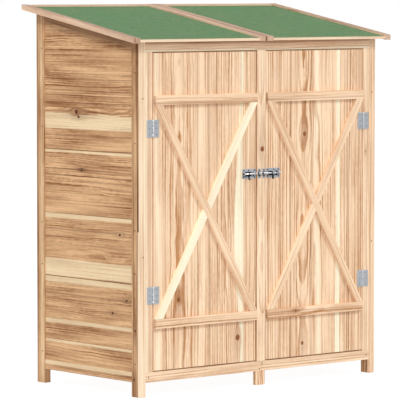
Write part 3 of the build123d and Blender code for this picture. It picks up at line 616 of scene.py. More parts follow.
# the header's lowered lightness and the dark lines near its top edge are painted shadow under the roof's front edge
t.add(lo, [(x, y, roof_z(y, DECK_BOTTOM)) for x, y, _ in lo], (1, 0, 0), (0, 0, 1), bevel=0.9,
      figure=dict(kind="straight", tint=(0.965, 0.0, 0.03), contrast=0.40, sap=(-24, -16, 0.75), lines=[(16, 0.9), (12, 0.6), (7, 0.3)]))
t.finish()

t = Timber("front_bottom_rail", "shed_body", "wood_frame", WOOD_FRONT)
for x0, x1, fig in (
    (-JAMB_X0, 3.0, dict(kind="straight", density=130, contrast=0.5, tint=(0.985, -0.06, 0.06), lines=[(6, 0.30), (-13, 0.25)])),
    (3.0, JAMB_X0, dict(kind="straight", density=125, contrast=0.5, tint=(0.98, -0.05, 0.06), lines=[(2, 0.30), (-10, 0.2)])),
):
    t.box((x0, x1), (Y_FRONT, yb), (LEG, RAIL_TOP), along="x", across="z", bevel=0.9, figure=fig)
t.finish()

t = Timber("door_jambs", "shed_body", "wood_frame", WOOD_FRONT)
for s in (-1, 1):
    a, b = sorted((s * JAMB_X0, s * JAMB_X1))
    if s < 0:
        fig = front_figure(a, b, dict(kind="straight", sap=(-609, -600, 0.6), tint=(0.96, 0.10, 0.0), lines=[(-590, 0.3), (-583, 0.25)], density=120, contrast=0.4))
    else:
        fig = front_figure(a, b, dict(kind="wide", tint=(1.01, -0.12, 0.12), lines=[(586, 0.35), (594, 0.2)], knots=[(587, 940, 3.0)], density=110, contrast=0.7))
    t.box((a, b), (Y_FRONT, yb), (RAIL_TOP, HEAD_Z), bevel=0.9, figure=fig)
t.finish()

t = Timber("door_stops", "shed_body", "wood_frame", WOOD_STOP_PAINTED_LIGHT)
# the stops' pale tint is painted light in the shaded door gaps
STOP = dict(kind="straight", tint=(1.0, -0.1, 0.3), contrast=0.4, lines=[])
for s in (-1, 1):
    t.box((s * 579 - 21, s * 579 + 21), (yb, yb + 12), (RAIL_TOP, HEAD_Z - 20), bevel=0.6, figure=STOP)
    a, b = sorted((s * half, s * (half + 17)))
    t.box((a, b), (yb, yb + 12), (RAIL_TOP, HEAD_Z - 20), bevel=0.6, figure=STOP)
    t.box((s * 311.5 - 288, s * 311.5 + 288), (yb, yb + 12), (HEAD_Z - 19.5, HEAD_Z + 22.5), along="x", across="z", bevel=0.6, figure=STOP)
    t.box((s * 299 - 258.5, s * 299 + 258.5), (yb, yb + 12), (RAIL_TOP, RAIL_TOP + 20), along="x", across="z", bevel=0.6, figure=STOP)
t.box((-half, half), (yc, yb + 12), (RAIL_TOP, HEAD_Z - 20), bevel=0.5)
t.finish()

# ---- doors -----------------------------------------------------------------
SEAMS = [DOOR_X0, 95.0, 193.0, 291.0, 389.0, 487.0, DOOR_X1]
LEFT = {
    0: dict(kind="straight", tint=(0.985, 0.10, 0.0), density=112, contrast=0.55, lines=[(-84, 0.45), (-60, 0.2)]),
    1: dict(kind="wide", pith=(-60, 30, 0.012), tint=(1.0, 0.02, 0.0), density=105, contrast=0.8, sap=(-110, -97, 1.0, 34, -120, 360),
            lines=[(-172, 0.4), (-160, 0.3)], knots=[(-125, 205, 12.0)]),
    2: dict(kind="straight", tint=(0.98, 0.14, 0.0), density=120, contrast=0.9, lines=[(-278, 0.55), (-238, 0.5), (-284, 0.4)]),
    3: dict(kind="wide", pith=(-70, 45, 0.008), tint=(1.015, -0.06, 0.05), density=100, contrast=0.55, lines=[(-337, 0.45), (-350, 0.2)]),
    4: dict(kind="flame", pith=(4, 34, 0.012), tint=(1.0, 0.0, 0.02), density=120, contrast=0.8, lines=[(-414, 0.4), (-464, 0.3)], knots=[(-438, 380, 9.5)]),
    5: dict(kind="straight", tint=(1.0, 0.05, 0.0), density=105, contrast=0.6, sap=(-556, -540, 0.4), lines=[(-514, 0.35), (-504, 0.3)]),
}
RIGHT = {
    0: dict(kind="straight", tint=(1.0, 0.02, 0.0), density=105, contrast=0.6, lines=[(42, 0.55), (83, 0.4)]),
    1: dict(kind="straight", tint=(0.99, 0.08, 0.0), density=112, contrast=0.7, lines=[(160, 0.5), (166, 0.45), (105, 0.3)]),
    2: dict(kind="flame", pith=(-8, 44, -0.02), tint=(0.995, 0.04, 0.0), density=115, contrast=0.85, lines=[(276, 0.5), (284, 0.45), (199, 0.3)],
            knots=[(240, 1025, 10.0), (230, 155, 8.0)]),
    3: dict(kind="wide", pith=(-40, 36, 0.02), tint=(1.015, -0.04, 0.04), density=100, contrast=0.6, lines=[(340, 0.25)], sap=(300, 322, 0.45)),
    4: dict(kind="straight", tint=(1.0, 0.05, 0.0), density=110, contrast=0.7, sap=(414, 436, 1.0, 4, -600, 400), lines=[(462, 0.45), (478, 0.45)]),
    5: dict(kind="straight", tint=(0.985, 0.10, 0.0), density=115, contrast=0.75, lines=[(493, 0.5), (544, 0.4), (560, 0.3)]),
}
for s, word, table, body in ((-1, "left", LEFT, "left_door"), (1, "right", RIGHT, "right_door")):
    t = Timber(f"{word}_door_boards", body, "wood_boards", WOOD_FRONT)
    for i in range(6):
        a, b = sorted((s * SEAMS[i], s * SEAMS[i + 1]))
        t.box((a, b), (Y_FRONT, Y_FRONT + DOOR_T), (DOOR_Z0, DOOR_Z1), bevel=0.8, figure=front_figure(a, b, table[i]))
    t.finish()

    t = Timber(f"{word}_door_ledges", body, "wood_frame", WOOD_FRONT)
    far = LEDGE_L1 if s < 0 else LEDGE_R1
    a, b = sorted((s * LEDGE_X0, s * far))
    for z, fig in (
        (LOWER_LEDGE_Z, dict(kind="straight", tint=(0.965, 0.12, 0.0), density=120, contrast=0.5, lines=[(-12, 0.3)]) if s < 0 else
         dict(kind="wide", pith=(10, 25, 0.02), tint=(0.99, 0.05, 0.0), density=125, contrast=0.6, knots=[((181, Y_FRONT, 295), 5.0)], lines=[(-6, 0.45), (3, 0.3)])),
        (UPPER_LEDGE_Z, dict(kind="straight", tint=(0.98, 0.08, 0.0), density=115, contrast=0.42, lines=[(-13, 0.45), (-8, 0.25)])),
    ):
        t.box((a, b), (Y_FRONT - LEDGE_T, Y_FRONT), (z, z + LEDGE_H), along="x", across="z", bevel=1.3, figure=fig)
    t.finish()

BZ1, BZ0 = UPPER_LEDGE_Z, LOWER_LEDGE_Z + LEDGE_H


def brace(t, poly, fig):
    """poly is a list of (x, z); the grain runs along its long way"""
    pts = [Vector((x, 0, z)) for x, z in poly]
    best = max(((p - q).length, i, j) for i, p in enumerate(pts) for j, q in enumerate(pts) if i < j)
    edges = [(pts[(i + 1) % len(pts)] - pts[i]) for i in range(len(pts))]
    along = max(edges, key=lambda e: e.length).normalized()
    across = along.cross(Vector((0, 1, 0)))
    area = sum(poly[i][0] * poly[(i + 1) % len(poly)][1] - poly[(i + 1) % len(poly)][0] * poly[i][1] for i in range(len(poly)))
    if area < 0:
        poly = poly[::-1]
    t.add([(x, Y_FRONT, z) for x, z in poly], [(x, Y_FRONT - LEDGE_T, z) for x, z in poly], along, across, bevel=1.3, figure=fig,
          keep=lambda mid, d: mid.y < Y_FRONT - 0.5)


def band(points):
    """the four half planes of a long brace given by its corners, as its two long edges a*x+b*z<=c"""
    (xa, za), (xb, zb), (xc, zc), (xd, zd) = points
    out = []
    for (x1, z1), (x2, z2), other in (((xa, za), (xb, zb), (xc, zc)), ((xd, zd), (xc, zc), (xa, za))):
        a, b = z2 - z1, -(x2 - x1)
        c = a * x1 + b * z1
        if a * other[0] + b * other[1] > c:
            a, b, c = -a, -b, -c
        out.append((a, b, c))
    return out


L_LONG = [(-LEDGE_L1, BZ1), (-LEDGE_X0 - BRACE_X, BZ0), (-LEDGE_X0, BZ0), (-LEDGE_L1 + BRACE_X, BZ1)]
L_SHORT = [(-LEDGE_X0, BZ1), (-LEDGE_L1 + BRACE_X, BZ0), (-LEDGE_L1, BZ0), (-LEDGE_X0 - BRACE_X, BZ1)]
R_LONG = [(LEDGE_X0, BZ1), (LEDGE_R1 - BRACE_X, BZ0), (LEDGE_R1, BZ0), (LEDGE_X0 + BRACE_X, BZ1)]
R_SHORT = [(LEDGE_R1, BZ1), (LEDGE_X0 + BRACE_X, BZ0), (LEDGE_X0, BZ0), (LEDGE_R1 - BRACE_X, BZ1)]
for word, body, long_, short, fl, fs in (
    ("left", "left_door", L_LONG, L_SHORT, dict(kind="straight", tint=(0.965, 0.10, 0.0), contrast=0.34, lines=[]), dict(kind="straight", tint=(1.0, -0.1, 0.92), contrast=0.22, lines=[(13, 0.2)])),
    ("right", "right_door", R_LONG, R_SHORT, dict(kind="straight", tint=(0.97, 0.12, 0.0), contrast=0.32, lines=[]), dict(kind="straight", tint=(0.99, 0.0, 0.16), contrast=0.35, lines=[])),
):
    t = Timber(f"{word}_door_long_brace", body, "wood_frame", WOOD_FRONT)
    brace(t, long_, fl)
    t.finish()
    t = Timber(f"{word}_door_short_braces", body, "wood_frame", WOOD_FRONT)
    for a, b, c in band(long_):
        norm = math.hypot(a, b)
        # the part of the short brace beyond this edge of the long one, with a hairline between
        piece = clip(short, -a, -b, -(c + 0.35 * norm))
        if len(piece) >= 3:
            brace(t, piece, fs)
    t.finish()

# ---- sides -----------------------------------------------------------------
# seen from the left: heights of pale sapwood bands and knots on the side boards
SIDE_FIG = {
    0: dict(tint=(0.95, 0.12, 0.0), sap=(34, 60), lines=[(28, 0.3)], kind="wide"),
    1: dict(tint=(0.93, 0.18, 0.0), sap=(27, 60), kind="straight"),
    2: dict(tint=(0.94, 0.16, 0.0), kind="wide", pith=(-50, 34, 0.01), knots=[((-640, -153, 325), 6.0)], lines=[(38, 0.3)]),
    3: dict(tint=(0.94, 0.14, 0.0), kind="wide", pith=(-56, 36, 0.01), knots=[((-640, -243, 380), 6.5)], sap=(24, 60), lines=[(-22, 0.4)]),
    4: dict(tint=(0.965, 0.04, 0.0), sap=(-41, 29), kind="straight", lines=[(-44, 0.8)]),
    5: dict(tint=(0.95, 0.12, 0.0), kind="wide", lines=[(4, 0.25)]),
    6: dict(tint=(0.95, 0.12, 0.0), kind="wide", pith=(-58, 32, 0.01), knots=[((-640, -200, 642), 6.5)], sap=(23, 60), lines=[(-22, 0.45), (14, 0.2)]),
    7: dict(tint=(0.97, 0.10, 0.0), kind="straight", lines=[(-40, 0.6), (16, 0.25)]),
    8: dict(tint=(0.95, 0.12, 0.0), kind="wide", lines=[(26, 0.4), (-24, 0.3)]),
    9: dict(tint=(0.98, 0.06, 0.0), sap=(34, 60), kind="wide", pith=(-34, 30, 0.01), knots=[((-640, 46, 891), 6.0)], lines=[(-34, 0.6), (-10, 0.3)]),
    10: dict(tint=(0.96, 0.08, 0.0), kind="wide", lines=[(-40, 0.7), (20, 0.3)]),
    11: dict(tint=(0.99, 0.0, 0.0), sap=(-60, 22), kind="wide", knots=[((-640, 80, 1126), 10.5), ((-640, 66, 1106), 6.5)], lines=[(30, 0.35)]),
    12: dict(tint=(0.94, 0.16, 0.0), kind="straight", density=120, contrast=1.0, lines=[(-20, 0.4), (10, 0.3), (30, 0.25)]),
    13: dict(tint=(0.95, 0.12, 0.0), kind="straight", contrast=1.0, density=130, lines=[(-12, 0.35), (8, 0.3)]),
    14: dict(tint=(0.95, 0.12, 0.0), kind="straight", contrast=1.0, density=125, lines=[(12, 0.35)]),
    15: dict(tint=(0.92, 0.16, 0.0), kind="wide", pith=(-70, 40, 0.01)),
}
for s, word in ((-1, "left"), (1, "right")):
    x_out = s * HALF_W
    x_in = s * (HALF_W - STILE_T)
    t = Timber(f"{word}_wall_stiles", "shed_body", "wood_frame", WOOD_SIDE)
    for y0, fig in (
        # the two heavy dark lines at this stile's front edge are painted shadow of the corner gap
        (STILE_Y0, dict(kind="straight", tint=(0.875, 0.26, 0.0), density=110, contrast=0.85, knots=[((-640, -303, 265), 5.0), ((-640, -297, 70), 5.5)], lines=[(-18.6, 1.0), (-17.0, 0.8), (8, 0.25)])),
        (BSTILE_Y0, dict(kind="straight", tint=(0.97, -0.02, 0.12), density=105, contrast=0.8, sap=(-14, 8, 0.35), lines=[(12, 0.35), (-17, 0.3)])),
    ):
        y1 = y0 + STILE_W
        a, b = sorted((x_out, x_in))
        lo = [(a, y0, 0), (b, y0, 0), (b, y1, 0), (a, y1, 0)]
        t.add(lo, [(x, y, roof_z(y, DECK_BOTTOM)) for x, y, _ in lo], (0, 0, 1), (0, 1, 0), bevel=0.9, figure=fig)
    t.finish()

    t = Timber(f"{word}_wall_rails", "shed_body", "wood_frame", WOOD_SIDE)
    a, b = sorted((s * (HALF_W - 2.5), x_in))
    t.box((a, b), (STILE_Y1, BSTILE_Y0), (LEG, RAIL_TOP), along="y", across="z", bevel=0.9,
          figure=dict(kind="straight", tint=(0.96, 0.12, 0.0), sap=(2, 40), contrast=0.9, lines=[(-4, 0.4)]))
    a, b = sorted((x_out, x_in))
    lo, hi = [], []
    for y in (STILE_Y1, BSTILE_Y0):
        z0, z1 = roof_z(y, DECK_BOTTOM + TOP_RAIL_H), roof_z(y, DECK_BOTTOM)
        lo.append(z0)
        hi.append(z1)
    lo_pts = [(a, STILE_Y1, lo[0]), (b, STILE_Y1, lo[0]), (b, BSTILE_Y0, lo[1]), (a, BSTILE_Y0, lo[1])]
    hi_pts = [(a, STILE_Y1, hi[0]), (b, STILE_Y1, hi[0]), (b, BSTILE_Y0, hi[1]), (a, BSTILE_Y0, hi[1])]
    # the top rail's low lightness 0.63 is painted shade under the verge overhang
    t.add(lo_pts, hi_pts, (0, 1, SLOPE), (0, -SLOPE, 1), bevel=0.9, figure=dict(kind="straight", tint=(0.63, 0.32, 0.0), contrast=0.6))
    t.finish()

    t = Timber(f"{word}_wall_boards", "shed_body", "wood_boards", WOOD_SIDE)
    a, b = sorted((s * (HALF_W - BOARD_IN), s * (HALF_W - BOARD_IN - BOARD_T)))
    z = RAIL_TOP
    k = 0
    while True:
        z_next = 100.0 + BOARD_PITCH * (k + 1)
        poly = [(STILE_Y1, z), (BSTILE_Y0, z), (BSTILE_Y0, z_next), (STILE_Y1, z_next)]
        # under the sloping rail: z - SLOPE*y <= c
        c = ROOF_Z0 - SLOPE * ROOF_Y0 - DECK_BOTTOM - TOP_RAIL_H
        poly = clip(poly, -SLOPE, 1.0, c)
        if len(poly) < 3 or max(p[1] for p in poly) - z < 0.5:
            break
        fig = SIDE_FIG.get(k, {})
        fig = dict(fig)
        if s > 0:
            fig.pop("knots", None)
            fig.pop("sap", None)
            if k in (2, 6, 9, 12):
                fig["sap"] = ((-36, -4), (11, 60), (-26, 14), (-60, -20))[(2, 6, 9, 12).index(k)]
                fig["knots"] = [((640, (-90, 120, 30, -140)[(2, 6, 9, 12).index(k)], z + 40), 4.5)]
        mid = (z + z_next) / 2
        t.add([(a, y, zz) for y, zz in poly], [(b, y, zz) for y, zz in poly], (0, 1, 0), (0, 0, 1), bevel=0.7, figure=fig,
              origin=((a + b) / 2, 4.0, mid), segments=1)
        z = z_next
        k += 1
    t.finish()

# ---- back ------------------------------------------------------------------
for s, word in ((-1, "left"), (1, "right")):
    t = Timber(f"back_{word}_post", "shed_body", "wood_frame", WOOD_SIDE)
    a, b = sorted((s * HALF_W, s * JAMB_X0))
    lo = [(a, Y_BACK - POST_T, 0), (b, Y_BACK - POST_T, 0), (b, Y_BACK, 0), (a, Y_BACK, 0)]
    t.add(lo, [(x, y, roof_z(y, DECK_BOTTOM)) for x, y, _ in lo], (0, 0, 1), (1, 0, 0), bevel=0.9,
          figure=dict(kind="straight", tint=(0.76, 0.30, 0.0), density=115, contrast=0.4))
    t.finish()

t = Timber("back_center_post", "shed_body", "wood_frame", WOOD_SIDE)
fig = dict(kind="straight", tint=(0.97, 0.05, 0.0))
t.box((-half, half), (Y_BACK - CENTER_T, Y_BACK), (0, LEG), figure=fig)
t.box((-half, half), (Y_BACK - CENTER_T, Y_BACK - POST_T), (LEG, RAIL_TOP), figure=fig, bevel=0)
lo = [(-half, Y_BACK - CENTER_T, RAIL_TOP), (half, Y_BACK - CENTER_T, RAIL_TOP), (half, Y_BACK, RAIL_TOP), (-half, Y_BACK, RAIL_TOP)]
zt = roof_z(Y_BACK, BACK_HEAD_DOWN)
t.add(lo, [(x, y, zt) for x, y, _ in lo], (0, 0, 1), (1, 0, 0), bevel=0.8, figure=fig)
lo = [(-half, Y_BACK - CENTER_T, zt), (half, Y_BACK - CENTER_T, zt), (half, Y_BACK - POST_T, zt), (-half, Y_BACK - POST_T, zt)]
t.add(lo, [(x, y, roof_z(y, DECK_BOTTOM)) for x, y, _ in lo], (0, 0, 1), (1, 0, 0), bevel=0, figure=fig)
t.finish()

t = Timber("back_bottom_rail", "shed_body", "wood_frame", WOOD_SIDE)
t.box((-JAMB_X0, JAMB_X0), (Y_BACK - POST_T, Y_BACK), (LEG, RAIL_TOP), along="x", across="z", bevel=0.9)
t.finish()

t = Timber("back_top_rail", "shed_body", "wood_frame", WOOD_SIDE)
z0 = roof_z(Y_BACK, BACK_HEAD_DOWN)
lo = [(-JAMB_X0, Y_BACK - POST_T, z0), (JAMB_X0, Y_BACK - POST_T, z0), (JAMB_X0, Y_BACK, z0), (-JAMB_X0, Y_BACK, z0)]
t.add(lo, [(x, y, roof_z(y, DECK_BOTTOM)) for x, y, _ in lo], (1, 0, 0), (0, 0, 1), bevel=0.9)
t.finish()

t = Timber("back_wall_boards", "shed_body", "wood_boards", WOOD_SIDE)
top = roof_z(Y_BACK, BACK_HEAD_DOWN)
for s in (-1, 1):
    a, b = sorted((s * half, s * JAMB_X0))
    z, k = RAIL_TOP, 0
    while z < top - 0.5:
        z_next = min(100.0 + BOARD_PITCH * (k + 1), top)
        fig = {}
        roll = t.rng.random()
        if roll < 0.22:
            c = t.rng.uniform(-40, 30)
            fig["sap"] = (c, c + t.rng.uniform(12, 40))
        elif roll < 0.45:
            fig["knots"] = [(((a + b) / 2 + t.rng.uniform(-220, 220), Y_BACK, z + t.rng.uniform(20, 66)), t.rng.uniform(3.5, 7))]
        t.box((a, b), (Y_BACK - BOARD_IN - BOARD_T, Y_BACK - BOARD_IN), (z, z_next), along="x", across="z", bevel=0.7, figure=fig, segments=1)
        z, k = z_next, k + 1
t.finish()

# ---- floor -----------------------------------------------------------------
t = Timber("floor", "shed_body", "wood_boards", WOOD_SIDE)
fx = HALF_W - STILE_T
y, y1 = Y_FRONT + CENTER_T, Y_BACK - CENTER_T
rows = 7
for k in range(rows):
    ya, yb2 = y + (y1 - y) * k / rows, y + (y1 - y) * (k + 1) / rows
    t.box((-fx, fx), (ya, yb2), (RAIL_TOP - BOARD_T, RAIL_TOP), along="x", across="y", bevel=0.8, segments=1)
t.finish()

t = Timber("floor_bearers", "shed_body", "wood_frame", WOOD_SIDE)
for y in (-180.0, 4.0, 190.0):
    t.box((-fx, fx), (y - 15, y + 15), (LEG, RAIL_TOP - BOARD_T), along="x", across="z", bevel=0.9)
t.finish()

# ---- roof ------------------------------------------------------------------
ALONG_ROOF, UP_ROOF = (0, 1, SLOPE), (0, -SLOPE, 1)


def roof_strip(t, x0, x1, y0, y1, down0, down1, along, across, **kw):
    """a piece of the roof between two depths below the verge top"""
    lo = [(x0, y0, roof_z(y0, down1)), (x1, y0, roof_z(y0, down1)), (x1, y1, roof_z(y1, down1)), (x0, y1, roof_z(y1, down1))]
    hi = [(x0, y0, roof_z(y0, down0)), (x1, y0, roof_z(y0, down0)), (x1, y1, roof_z(y1, down0)), (x0, y1, roof_z(y1, down0))]
    t.add(lo, hi, along, across, **kw)


for s, word in ((-1, "left"), (1, "right")):
    t = Timber(f"{word}_verge", "shed_body", "wood_frame", WOOD_ROOF)
    a, b = sorted((s * ROOF_HALF_W, s * (ROOF_HALF_W - VERGE_W)))
    roof_strip(t, a, b, ROOF_Y0, ROOF_Y1, 0, VERGE_H, ALONG_ROOF, (1, 0, 0), bevel=1.2,
               figure=dict(kind="straight", tint=(0.965, 0.03, 0.04), contrast=0.85, lines=[(4, 0.3), (-13.5, 0.5)]) if s < 0 else dict(kind="straight", tint=(0.93, -0.05, 0.15), contrast=0.6, lines=[]))
    t.finish()

t = Timber("roof_center_battens", "shed_body", "wood_frame", WOOD_ROOF)
for x0 in (-1.0 - BATTEN_W, 1.0):
    # the heavy dark line on each batten's inner edge is painted shade of the gap between the two battens
    roof_strip(t, x0, x0 + BATTEN_W, ROOF_Y0, ROOF_Y1, 0, DECK_BOTTOM, ALONG_ROOF, (1, 0, 0), bevel=1.1,
               figure=dict(kind="straight", tint=(1.0, 0.05, 0.05), contrast=0.6, lines=[(18.0 if x0 < 0 else -18.0, 0.85)]))
t.finish()

t = Timber("roof_deck", "shed_body", "wood_boards", WOOD_SIDE)
for x0, x1 in ((-PANEL_X1, -PANEL_X0), (PANEL_X0, PANEL_X1)):
    rows = 8
    ya, yz = ROOF_Y0 + EDGE_F, ROOF_Y1 - EDGE_B
    for k in range(rows):
        roof_strip(t, x0, x1, ya + (yz - ya) * k / rows, ya + (yz - ya) * (k + 1) / rows, DECK_DOWN, DECK_BOTTOM, (1, 0, 0), ALONG_ROOF, bevel=0.7, segments=1)
t.finish()

t = Timber("roof_front_edge", "shed_body", "wood_frame", WOOD_ROOF)
for x0, x1 in ((-PANEL_X1, -PANEL_X0), (PANEL_X0, PANEL_X1)):
    roof_strip(t, x0, x1, ROOF_Y0, ROOF_Y0 + EDGE_F, 7.2, 17.2, (1, 0, 0), (0, 0, 1), bevel=0.8,
               figure=dict(kind="straight", tint=(0.96, -0.1, 0.6), contrast=0.4, lines=[]))
t.finish()

t = Timber("roof_back_edge", "shed_body", "wood_frame", WOOD_ROOF)
for x0, x1 in ((-PANEL_X1, -PANEL_X0), (PANEL_X0, PANEL_X1)):
    roof_strip(t, x0, x1, ROOF_Y1 - EDGE_B, ROOF_Y1, 1, VERGE_H, (1, 0, 0), (0, 1, 0), bevel=0.9,
               figure=dict(kind="straight", tint=(0.97, 0.05, 0.1), contrast=0.4, lines=[]))
t.finish()


# ---- felt ------------------------------------------------------------------
def felt():
    rng = np.random.default_rng(7)
    verts, faces = [], []
    step = 4.5
    for x0, x1 in ((-PANEL_X1, -PANEL_X0), (PANEL_X0, PANEL_X1)):
        y0, y1 = ROOF_Y0 + EDGE_F, ROOF_Y1 - EDGE_B
        nx, ny = int((x1 - x0) / step), int((y1 - y0) / step)
        xs, ys = np.linspace(x0, x1, nx + 1), np.linspace(y0, y1, ny + 1)
        waves = [(rng.uniform(0.004, 0.02), rng.uniform(0.004, 0.02), rng.uniform(0, 6.28), rng.uniform(0.03, 0.10)) for _ in range(9)]
        base = len(verts)
        for j, y in enumerate(ys):
            for i, x in enumerate(xs):
                rim = min(1.0, min(x - x0, x1 - x, y - y0, y1 - y) / 12.0)
                h = sum(a * math.sin(kx * x * 6.28 / 6.28 + ky * y + ph) for kx, ky, ph, a in waves) * rim
                h += rng.normal(0, 0.045)
                down = DECK_DOWN - FELT_T + 0.35 - h * 0.8
                verts.append((x * 0.001, y * 0.001, roof_z(y, max(down, 0.4)) * 0.001))
        for j in range(ny):
            for i in range(nx):
                p = base + j * (nx + 1) + i
                faces.append((p, p + 1, p + nx + 2, p + nx + 1))
        # edges and underside close the sheet
        low = len(verts)
        for x, y in ((x0, y0), (x1, y0), (x1, y1), (x0, y1)):
            verts.append((x * 0.001, y * 0.001, roof_z(y, DECK_DOWN) * 0.001))
        row = nx + 1
        faces.append([low + 3, low + 2, low + 1, low])
        faces.append([low, low + 1] + [base + i for i in range(nx, -1, -1)])
        faces.append([low + 1, low + 2] + [base + j * row + nx for j in range(ny, -1, -1)])
        faces.append([low + 2, low + 3] + [base + ny * row + i for i in range(0, nx + 1)])
        faces.append([low + 3, low] + [base + j * row for j in range(0, ny + 1)])
    me = bpy.data.meshes.new("roof_felt_sheet")
    me.from_pydata(verts, [], faces)
    me.update()
    me.materials.append(FELT)
    o = bpy.data.objects.new("roof_felt_sheet", me)
    bpy.context.scene.collection.objects.link(o)
    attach(o, "shed_body")
    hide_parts("roof_felt")
    return o


felt()


# ------------------------------------------------------------------ metal
class Metal:
    """Small metal shapes gathered in one mesh."""

    def __init__(self):
        self.bm = bmesh.new()

    def _take(self, bm, matrix=None):
        if matrix is not None:
            bmesh.ops.transform(bm, matrix=matrix, verts=bm.verts)
        me = bpy.data.meshes.new("tmp")
        bm.to_mesh(me)
        bm.free()
        self.bm.from_mesh(me)
        bpy.data.meshes.remove(me)

    def lathe(self, profile, centre, axis, segments=28, smooth=True):
        """profile: (radius, height) points from bottom to top, closed at both ends"""
        bm = bmesh.new()
        rings = []
        for r, h in profile:
            if r < 1e-6:
                rings.append([bm.verts.new((0, 0, h))])
            else:
                rings.append([bm.verts.new((r * math.cos(2 * math.pi * k / segments), r * math.sin(2 * math.pi * k / segments), h)) for k in range(segments)])
        for a, b in zip(rings, rings[1:]):
            for k in range(segments):
                j = (k + 1) % segments
                if len(a) == 1 and len(b) == 1:
                    continue
                if len(a) == 1:
                    bm.faces.new((a[0], b[j], b[k]))
                elif len(b) == 1:
                    bm.faces.new((a[k], a[j], b[0]))
                else:
                    bm.faces.new((a[k], a[j], b[j], b[k]))
        if len(rings[0]) > 1:
            bm.faces.new(rings[0][::-1])
        if len(rings[-1]) > 1:
            bm.faces.new(rings[-1])
        bmesh.ops.recalc_face_normals(bm, faces=bm.faces)
        for f in bm.faces:
            f.smooth = smooth and len(f.verts) <= 4
        q = Vector((0, 0, 1)).rotation_difference(Vector(axis).normalized())
        self._take(bm, Matrix.Translation(Vector(centre)) @ q.to_matrix().to_4x4())

    def outline(self, points, plane, lo, hi, bevel=0.25, segments=2, holes=()):
        """a flat outline extruded between lo and hi. plane 'xz' extrudes along Y, 'yz' along X, 'xy' along Z"""
        bm = bmesh.new()

        def at(p, h):
            return {"xz": (p[0], h, p[1]), "yz": (h, p[0], p[1]), "xy": (p[0], p[1], h)}[plane]

        a = [bm.verts.new(at(p, lo)) for p in points]
        b = [bm.verts.new(at(p, hi)) for p in points]
        bm.faces.new(a[::-1])
        bm.faces.new(b)
        n = len(points)
        for i in range(n):
            j = (i + 1) % n
            bm.faces.new((a[i], a[j], b[j], b[i]))
        bmesh.ops.recalc_face_normals(bm, faces=bm.faces)
        if bevel > 0:
            flat = [e for e in bm.edges if len(e.link_faces) == 2 and e.calc_face_angle(0) > 0.5]
            bmesh.ops.bevel(bm, geom=flat, offset=bevel, segments=segments, profile=0.5, affect="EDGES", clamp_overlap=True)
        for f in bm.faces:
            f.smooth = False
        self._take(bm)

    def screw(self, centre, r=3.4, turn=0.4, depth=0.5, out=(0, -1, 0), cross=True):
        """a countersunk head with a cross recess, standing hardly proud of the surface at centre"""
        bm = bmesh.new()
        seg = 24
        arm, wide = r * 0.62, r * 0.17
        # rings of the dished head
        prof = [(r, 0.0), (r, 0.35), (r * 0.93, 0.55), (r * 0.80, 0.62)]
        rings = []
        for rad, h in prof:
            rings.append([bm.verts.new((rad * math.cos(2 * math.pi * k / seg), rad * math.sin(2 * math.pi * k / seg), h)) for k in range(seg)])
        for a, b in zip(rings, rings[1:]):
            for k in range(seg):
                j = (k + 1) % seg
                bm.faces.new((a[k], a[j], b[j], b[k]))
        pts = []
        for q in range(4):
            c, s = math.cos(q * math.pi / 2 + turn), math.sin(q * math.pi / 2 + turn)
            for x, y in ((arm, -wide), (arm, wide), (wide, wide)):
                pts.append((x * c - y * s, x * s + y * c))
        star = [bm.verts.new((x, y, 0.62)) for x, y in pts]
        floor_ = [bm.verts.new((x * 0.7, y * 0.7, 0.62 - depth)) for x, y in pts]
        m = len(star)
        for k in range(m):
            j = (k + 1) % m
            bm.faces.new((star[k], star[j], floor_[j], floor_[k]))
        bm.faces.new(floor_)
        # top annulus between the last ring and the star
        ring = rings[-1]
        edges = [bm.edges.get((ring[k], ring[(k + 1) % seg])) for k in range(seg)] + [bm.edges.get((star[k], star[(k + 1) % m])) for k in range(m)]
        bmesh.ops.triangle_fill(bm, use_beauty=True, edges=edges)
        bm.faces.new(rings[0][::-1])
        bmesh.ops.recalc_face_normals(bm, faces=bm.faces)
        q = Vector((0, 0, 1)).rotation_difference(Vector(out).normalized())
        self._take(bm, Matrix.Translation(Vector(centre)) @ q.to_matrix().to_4x4())

    def finish(self, name, body, material, nodes=(), slot="steel"):
        bmesh.ops.transform(self.bm, matrix=Matrix.Scale(0.001, 4), verts=self.bm.verts)
        me = bpy.data.meshes.new(name)
        self.bm.to_mesh(me)
        self.bm.free()
        me.materials.append(material)
        o = bpy.data.objects.new(name, me)
        bpy.context.scene.collection.objects.link(o)
        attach(o, body)
        if nodes:
            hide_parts(*nodes)
        return o


def rounded(x0, x1, z0, z1, r=3.0, seg=5, corners=(True, True, True, True)):
    """outline of a rectangle with rounded corners: lower left, lower right, upper right, upper left"""
    pts = []
    for (cx, cz, a0, on, px, pz) in (
        (x0 + r, z0 + r, math.pi, corners[0], x0, z0),
        (x1 - r, z0 + r, 1.5 * math.pi, corners[1], x1, z0),
        (x1 - r, z1 - r, 0.0, corners[2], x1, z1),
        (x0 + r, z1 - r, 0.5 * math.pi, corners[3], x0, z1),
    ):
        if not on:
            pts.append((px, pz))
            continue
        for k in range(seg + 1):
            a = a0 + 0.5 * math.pi * k / seg
            pts.append((cx + r * math.cos(a), cz + r * math.sin(a)))
    return pts


KN = HINGE_H / 5
PIN_R = 1.6
